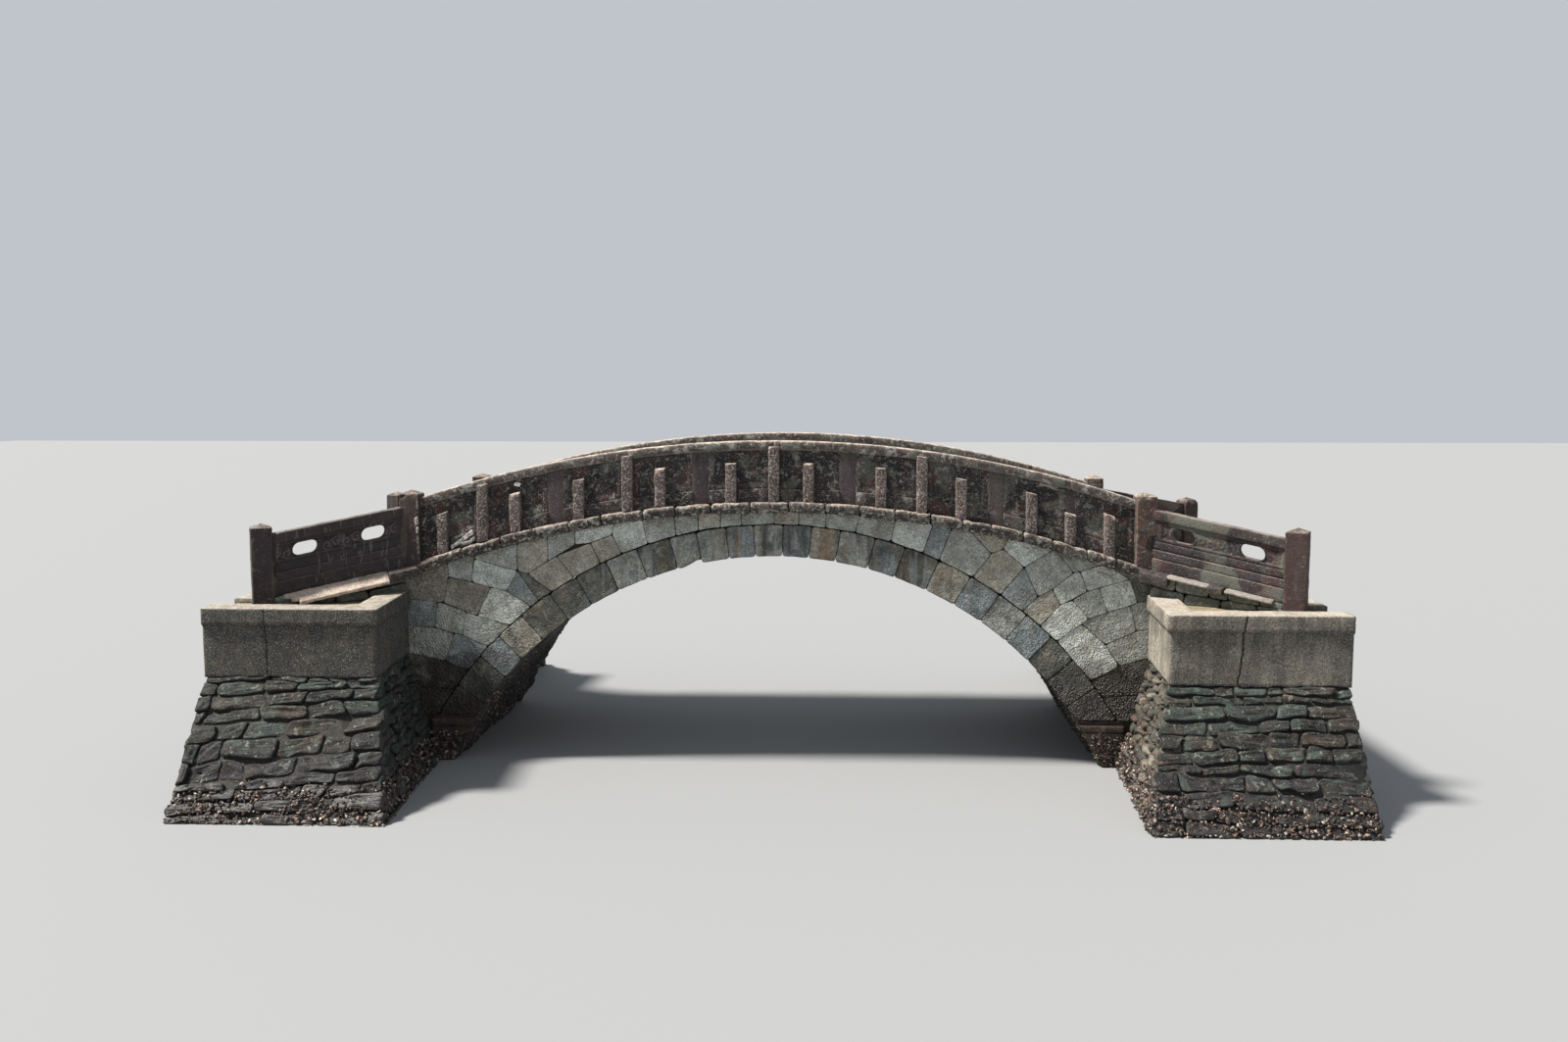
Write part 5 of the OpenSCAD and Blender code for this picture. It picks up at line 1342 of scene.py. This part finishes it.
def coping(sx, sy, rng, crack):
    """The coping's section carried round the corner of the quay: its outer line is offset square to each leg,
    and at the corner the two offsets meet on the mitre."""
    at, sway, deep = crack
    ys = np.linspace(HALF_WIDTH, QUAY_FRONT, 34)
    corner = len(ys) - 1
    xs = np.linspace(quay_side_x(QUAY_FRONT), HALF_LENGTH, 60)[1:]
    xs = np.sort(np.append(xs[np.abs(xs - at) > 0.03], at + CRACK_STEPS))
    path = np.concatenate([np.stack([quay_side_x(ys), ys], -1), np.stack([xs, 0 * xs + QUAY_FRONT], -1)])
    tangent = np.gradient(path, axis=0)
    tangent /= np.linalg.norm(tangent, axis=1, keepdims=True)
    tangent[:corner], tangent[corner + 1:] = tangent[0], tangent[-1]
    normal = np.stack([-tangent[:, 1], tangent[:, 0]], -1)
    normal[corner] = (normal[0] + normal[-1]) / (1 + normal[0] @ normal[-1])
    low, band = RUBBLE_HEIGHT, QUAY_TOP - BAND_HEIGHT
    section = np.concatenate([
        [(0, low), (0, low + 0.02)], [(0, z) for z in np.linspace(low + 0.08, band - 0.02, 10)],
        [(0.002, band - 0.006), (0.03, band - 0.002), (BAND_OUT, band + 0.012)],
        [(BAND_OUT, z) for z in np.linspace(band + 0.05, QUAY_TOP - 0.03, 4)],
        [(BAND_OUT - 0.004, QUAY_TOP - 0.008), (BAND_OUT - 0.018, QUAY_TOP)],
        [(w, QUAY_TOP) for w in np.linspace(-0.03, -COPING_WIDTH + 0.02, 6)],
        [(-COPING_WIDTH, QUAY_TOP - 0.01), (-COPING_WIDTH, FILL_TOP - 0.05), (-COPING_WIDTH, low)]])
    points = np.zeros((len(path), len(section), 3))
    points[..., :2] = path[:, None] + normal[:, None] * section[None, :, :1]
    points[..., 2] = section[:, 1]
    square = np.concatenate([normal, np.zeros((len(path), 1))], 1)[:, None]
    own = rng.uniform(0, 50, 3)
    outer = section[:, 0] > -0.01
    points = points + np.where(outer[:, None], square, 0) * 0.005 * rough(points + own, 0.2, 4)[..., None]
    points[..., 2] -= np.where(section[:, 1] > QUAY_TOP - 0.02, 0.004, 0) * (1 + rough(points + own, 0.3, 3))
    foot = (section[:, 1] < low + 0.01) & outer
    points[..., 2] -= np.where(foot, 0.035, 0) * np.clip(0.3 + rough(points + own + 5, 0.14, 3), 0, 1)
    # a strip just under the band is darker
    below_band = np.exp(-np.abs(points[..., 2] - band + 0.035) / 0.04) * outer
    shade = 1 - 0.35 * below_band * np.clip(0.8 + rough(points + own, 0.25, 2), 0, 1)
    for way, bend in ((tangent[0], slice(0, corner)), (-tangent[-1], slice(corner + 1, None))):
        past = np.maximum((points[bend, :, :2] - points[corner, :, :2]) @ way, 0)
        points[bend, :, :2] -= past[..., None] * way
    off = np.abs(path[:, :1] - at)
    up_crack = points[..., 2:] * np.array([1, 0, 0]) + own
    points[..., 0] += np.exp(-(off / 0.12) ** 2) * sway * rough(up_crack, 0.30, 3)
    points[..., 1] -= np.where((off < 1e-6) & outer, deep, 0)
    # painted shade: the outer faces are darkened inside the crack and beside it
    shade *= np.where(outer, np.interp(off, [0, 0.009, 0.025], [0.04, 0.12, 1.0]), 1)
    na, nb = points.shape[:2]
    index = np.arange(na * nb).reshape(na, nb)
    nxt = np.roll(index, -1, 1)
    quads = np.stack([index[:-1], index[1:], nxt[1:], nxt[:-1]], -1).reshape(-1, 4)
    fans = np.concatenate([np.stack([np.full(nb, na * nb), index[0], nxt[0]], -1),
                           np.stack([np.full(nb, na * nb + 1), nxt[-1], index[-1]], -1)])
    points = np.concatenate([points.reshape(-1, 3), points[[0, -1]].mean(1)]) * np.array([sx, sy, 1])
    worn = np.clip(1 - np.abs(section[:, 1] - QUAY_TOP) / 0.03, 0, 1) * (section[:, 0] > -0.02)
    return {"points": points, "quads": quads, "fans": fans, "worn": np.append(np.tile(worn, na), [0, 0]),
            "shade": np.append(shade, [1, 1])}


concrete = stone_finish("concrete", [
    ((48, 47, 44), 1.6, 0.52, 0.05, 0.6), ((40, 38, 36), 5.5, 0.55, 0.04, 0.6, DOWN),
    ((124, 120, 110), 6.0, 0.60, 0.06, 0.25), ((92, 80, 64), 3.0, 0.58, 0.06, 0.4),
    ((176, 172, 160), 90.0, 0.60, 0.04, 0.7)],
    mottle=0.7, pits=0.8, edge=(150, 140, 126), edge_amount=0.4, speckle=1.0, pebbles=0.9,
    top=(172, 162, 148), top_amount=0.9, top_patchy=0.5)
for sy, row in SIDES:
    for sx, hand in HANDS:
        name = f"{row}_{hand}_quay"
        shape = coping(sx, sy, rng, CRACKS[hand])
        along, across = np.abs(shape["points"][:, :2]).T
        darker = (along < CRACKS[hand][0]) & (across > QUAY_FRONT - 0.1)
        # painted light: on the right quay the side towards the arch and the top, which face the sun, get a
        # much lighter tint than the front
        sunlit_side_and_top = (across < QUAY_FRONT - 0.02) & (sx > 0)
        value = np.where(darker, 0.78, 1.0) * np.where(sunlit_side_and_top, 1.9, 1.0)
        shape["tint"] = value[:, None] * CONCRETE_TINTS[hand] * shape["shade"][:, None]
        make_piece(name + "_coping", shape, concrete, name + "_cap")

# Fill and roadway: packed earth lies level behind each coping, and worn slabs cross the
# bridge in rows, following the camber and then the ramps between the wings.
earth = stone_finish("earth", [
    ((104, 94, 76), 3.0, 0.52, 0.08, 0.6), ((150, 144, 116), 11.0, 0.58, 0.05, 0.5)],
    speckle=0.5, pebbles=0.4)
paving_stone = stone_finish("paving_stone", [
    ((92, 88, 80), 3.0, 0.54, 0.08, 0.5), ((160, 156, 146), 10.0, 0.58, 0.05, 0.4),
    ((104, 92, 76), 5.0, 0.60, 0.05, 0.35)],
    edge=(66, 61, 54), edge_amount=0.6, bump=0.8, speckle=0.3, strokes=0.4)
FILL_HALF, FILL_DEPTH, FILL_TINT = 3.38, 0.2, tone(136, 124, 98)
SLAB_TINT, MORTAR_TINT, MORTAR_LOW = tone(150, 144, 132), tone(84, 78, 66), 0.014
# half width on which the slabs of a ramp are laid out
RAMP_HALF, RAMP_END = 2.2, POST_X + WING_RUN
for sx, hand in HANDS:
    grid, quads = shell(np.linspace(BODY_X - 0.02, HALF_LENGTH - 0.04, 20),
                        np.linspace(-FILL_HALF, FILL_HALF, 46), [0, 1])
    x, y, z = grid
    bumps = 0.012 * rough(np.stack(grid, -1) + 4 * sx, 0.35, 4)
    z = RUBBLE_HEIGHT - FILL_DEPTH + z * (FILL_TOP - RUBBLE_HEIGHT + FILL_DEPTH + bumps)
    fill = {"points": np.stack([sx * x, y, z], -1), "quads": quads, "tint": FILL_TINT}
    make_piece(hand + "_packed_fill", fill, earth)


def paved(outlines, place, depth, bed_depth, joint, seed, xs, ys, rng):
    """Slabs in rows across the road, on a bed of mortar that reaches nearly to their tops."""
    outlines = [[(b, a) for a, b in corners] for corners in outlines]
    slabs = face_stones(outlines, place, depth, joint=joint, round_edge=0.012, relief=0.005, relief_size=0.2,
                        wander=0.005, set_out=0.003, steps=24, seed=seed, inner=2, rims=3)
    (x, y, z), quads = shell(xs, ys, [0, 1])
    bed = {"points": place(x, y, (bed_depth - MORTAR_LOW) * z - bed_depth), "quads": quads,
           "tint": MORTAR_TINT}
    return joined([tinted(slabs, [SLAB_TINT * rng.uniform(0.8, 1.15) for _ in outlines]), bed])


def on_camber(u, v, out):
    """Roadway coordinates into space: u along the bridge, v across it, out above the camber."""
    return np.stack([u, v, road_height(u) + out - 0.004], -1)


road = paved(coursed(-CORE, CORE, -BODY_X, BODY_X, 26, 0.75, rng, lean=0.0), on_camber, 0.14, 0.14, 0.008, 61,
             np.linspace(-BODY_X, BODY_X, 60), [-CORE, 0, CORE], rng)
make_piece("road_slabs", road, paving_stone, "roadway")
for sx, hand in HANDS:
    def on_ramp(u, v, out):
        """Ramp coordinates into space: u along the bridge, v across it in a share of the width between the
        footings."""
        flare = (np.minimum(u, RAMP_END) - POST_X) * math.tan(WING_TURN)
        inside = PIER_Y + flare - 0.15 / math.cos(WING_TURN)
        fall = np.clip((u - BODY_X) / (RAMP_END - BODY_X), 0, 1)
        top = POST_FOOT + fall * (ROAD_CROWN - CAMBER - RAMP_FALL - POST_FOOT)
        return np.stack([sx * np.minimum(u, HALF_LENGTH), v * inside / RAMP_HALF, top + out - 0.006], -1)
    ramp = paved(coursed(-RAMP_HALF, RAMP_HALF, BODY_X, HALF_LENGTH, 6, 0.8, rng), on_ramp, 0.12, 0.10, 0.010,
                 63 + sx, np.linspace(BODY_X, HALF_LENGTH, 12), np.linspace(-RAMP_HALF, RAMP_HALF, 12), rng)
    make_piece(hand + "_ramp_slabs", ramp, paving_stone, hand + "_approach")

# Oyster crust: it has grown over the springers, the foot of the vault and the lowest rubble,
# as a dark lumpy sheet set with small cupped shells.
CRUST_TOP, CRUST_TINT = 1.55, tone(38, 34, 31)
# corners of a shell's rim, and its least and greatest size
SHELL_SIDES, SHELL_SIZE = 5, (0.012, 0.030)
# dark, brown, dull and pale shells, and the share of each
SHELL_TONES = np.array([tone(52, 45, 42), tone(92, 74, 66), tone(140, 118, 104), tone(186, 174, 162)])
SHELL_SHARES = (0.42, 0.30, 0.19, 0.09)
# shells on the sheet, on a face of a springer, and on the front and the side of a quay
SHEET_SHELLS, FACE_SHELLS, FRONT_SHELLS, SIDE_SHELLS = 900, 260, 660, 500
SHELLS_THIN_FROM, SHELL_FOOT = 0.36, 0.01
oyster = stone_finish("oyster", [
    ((30, 26, 24), 9.0, 0.53, 0.06, 0.6), ((120, 112, 104), 30.0, 0.60, 0.04, 0.5)],
    mottle=0.9, pits=0.8, speckle=0.9)


def cupped(places, facing_way, rng):
    """Small shells at given places. Each is a ragged oval rim round a low cup, closed behind by a point, and
    leans by chance from the way that its wall faces. Many are dull, and some show pale insides."""
    count = len(places)
    turn = np.linspace(0, 2 * np.pi, SHELL_SIDES, endpoint=False)
    size = rng.uniform(*SHELL_SIZE, (count, 1))
    facing = facing_way + rng.normal(0, 0.75, (count, 3))
    facing /= np.linalg.norm(facing, axis=1, keepdims=True)
    first = np.cross(facing, rng.normal(0, 1, (count, 3)))
    first /= np.linalg.norm(first, axis=1, keepdims=True)
    second = np.cross(facing, first)
    reach = size * rng.uniform(0.75, 1.25, (count, SHELL_SIDES))
    rim = (places[:, None] + reach[..., None] * (1.35 * np.cos(turn)[:, None] * first[:, None]
                                                 + 0.8 * np.sin(turn)[:, None] * second[:, None])
           + 0.25 * size[..., None] * facing[:, None])
    inside = places - 0.05 * size * facing
    behind = places - 0.9 * size * facing
    points = np.concatenate([rim, inside[:, None], behind[:, None]], 1)
    n = np.arange(SHELL_SIDES)
    m = (n + 1) % SHELL_SIDES
    faces = np.concatenate([np.stack([0 * n + SHELL_SIDES, n, m], -1),
                            np.stack([0 * n + SHELL_SIDES + 1, m, n], -1)])
    faces = (faces + (np.arange(count) * (SHELL_SIDES + 2))[:, None, None]).reshape(-1, 3)
    tint = SHELL_TONES[rng.choice(len(SHELL_TONES), count, p=SHELL_SHARES)]
    return {"points": points.reshape(-1, 3), "fans": faces, "tint": np.repeat(tint, SHELL_SIDES + 2, 0)}


def scattered(count, high, rng):
    """Heights in which shells stand: even up to a level, then fewer and fewer up to the highest."""
    z = rng.uniform(SHELL_FOOT, high, 3 * count)
    kept = rng.random(3 * count) < np.clip((high - z) / (high - SHELLS_THIN_FROM), 0, 1)
    return z[kept][:count]


for sx, hand in HANDS:
    u, z = np.meshgrid(np.linspace(-HALF_WIDTH + 0.01, HALF_WIDTH - 0.01, 84),
                       np.linspace(0.004, CRUST_TOP, 36), indexing="ij")
    far_share = (u + HALF_WIDTH) / (2 * HALF_WIDTH)
    thick = 0.05 + 0.15 * far_share if sx < 0 else 0.035 + 0.05 * far_share
    edge_fade = np.clip((CRUST_TOP - z) / 0.5, 0, 1) * np.clip((HALF_WIDTH - np.abs(u)) / 0.12, 0.15, 1)
    here = np.stack([u, z, 0 * u + 7 * sx], -1)
    lumps = 0.55 + 0.45 * rough(here, 0.32, 2) + 0.28 * rough(here + 9, 0.075, 3)
    surface = arch_edge(z) - np.maximum(thick * edge_fade * lumps - 0.01, -0.015)
    front = np.stack([sx * surface, u, z], -1)
    sheet = plate(front, np.stack([sx * (arch_edge(z) + 0.03), u, z], -1))
    pick = rng.integers(0, u.size, SHEET_SHELLS)
    covered = (surface < arch_edge(z) + 0.005).ravel()[pick]
    pick = pick[covered & (z.ravel()[pick] < rng.uniform(0.5, 1.6, SHEET_SHELLS))]
    grown = [cupped(front.reshape(-1, 3)[pick], (-sx, 0, 0.3), rng)]
    for sy in (-1, 1):
        z_face = scattered(FACE_SHELLS, 0.52, rng)
        inner = arch_edge(z_face)
        x_face = inner + rng.random(len(z_face)) * (TAIL_X - inner)
        at = np.stack([sx * x_face, sy * (HALF_WIDTH + 0.004 + 0 * z_face), z_face], -1)
        grown.append(cupped(at, (0, sy, 0.2), rng))
        v = scattered(FRONT_SHELLS, 0.62, rng)
        corner = arris(sy, v)
        at = front_face(sx, sy)(corner + rng.random(len(v)) * (HALF_LENGTH - 0.03 - corner), v, 0.012)
        at[:, 2] = np.maximum(at[:, 2], 0.008)
        grown.append(cupped(at, (0, sy * 0.8, 0.6), rng))
        v = scattered(SIDE_SHELLS, 0.60, rng)
        at = side_face(sx, sy)(rng.uniform(0, SIDE_LENGTH, len(v)), v, 0.012)
        grown.append(cupped(at, (-sx, 0, 0.5), rng))
    shells = joined(grown)
    limit = QUAY_FRONT + FRONT_BATTER - 0.001
    shells["points"] = np.clip(shells["points"], [-HALF_LENGTH, -limit, 0.001],
                               [HALF_LENGTH, limit, QUAY_TOP])
    make_piece(hand + "_oyster_shells", shells, oyster)
    make_piece(hand + "_crust_sheet", dict(sheet, tint=CRUST_TINT), oyster)

# Ends: where the real quays run on the model stops at rough rubble, which fills the
# haunches and shows as an end wall under each ramp.
END_CORE_TINT = tone(40, 38, 34)
# half width on which the stones of the lower wall are laid out, and how far inside the end their faces lie
END_HALF, END_BACK = 4.3, 0.012


def end_x(sx, out):
    """Place of an end wall's face along the bridge, never past the end of the model."""
    return sx * np.minimum(HALF_LENGTH - END_BACK + out, HALF_LENGTH)


def end_stones(outlines, place, depth, rng, **settings):
    """The stones of an end wall, with tones drawn by chance."""
    stones = face_stones(outlines, place, depth, joint=0.012, relief_size=0.16, wander_size=0.27, soften=2,
                         layered=0.006, steps=20, inner=2, rims=3, **settings)
    return tinted(stones, [SLAB_TONES[k] for k in rng.choice(list("goddl"), len(outlines))])


for sx, hand in HANDS:
    def on_lower_end(u, v, out):
        """End coordinates into space: u across, drawn in with the batter of the fronts, and v up."""
        half = QUAY_FRONT + FRONT_BATTER * (1 - np.clip(v / RUBBLE_HEIGHT, 0, 1)) - 0.03
        return np.stack([end_x(sx, out), u / END_HALF * half, np.clip(v, 0, RUBBLE_HEIGHT + 0.02)], -1)

    def on_upper_end(u, v, out):
        """The same between the copings, where the wall is upright."""
        return np.stack([end_x(sx, out), u, RUBBLE_HEIGHT + v], -1)
    outlines = coursed(-END_HALF, END_HALF, 0.0, RUBBLE_HEIGHT, 7, 0.72, rng, waver=0.4, lean=0.04,
                       split=0.15)
    lower = end_stones(outlines, on_lower_end, 0.3, rng, round_edge=0.022, relief=0.014, wander=0.03,
                       set_out=0.008, seed=71 + sx)
    inner_half, rise = QUAY_FRONT - COPING_WIDTH - 0.02, FILL_TOP - RUBBLE_HEIGHT - 0.005
    outlines = coursed(-inner_half, inner_half, 0.0, rise, 4, 0.6, rng, waver=0.3, lean=0.03, split=0.1)
    upper = end_stones(outlines, on_upper_end, 0.2, rng, round_edge=0.020, relief=0.012, wander=0.025,
                       set_out=0.006, seed=75 + sx)
    (x, y, z), quads = shell([BODY_X, HALF_LENGTH - 0.06], np.linspace(-1, 1, 20), np.linspace(0, 1, 8))
    y = y * (QUAY_FRONT + FRONT_BATTER * (1 - z) - 0.09)
    behind = {"points": np.stack([sx * x, y, z * RUBBLE_HEIGHT], -1), "quads": quads, "tint": END_CORE_TINT}
    make_piece(hand + "_end_rubble", joined([lower, upper, behind]), schist, hand + "_haunch")
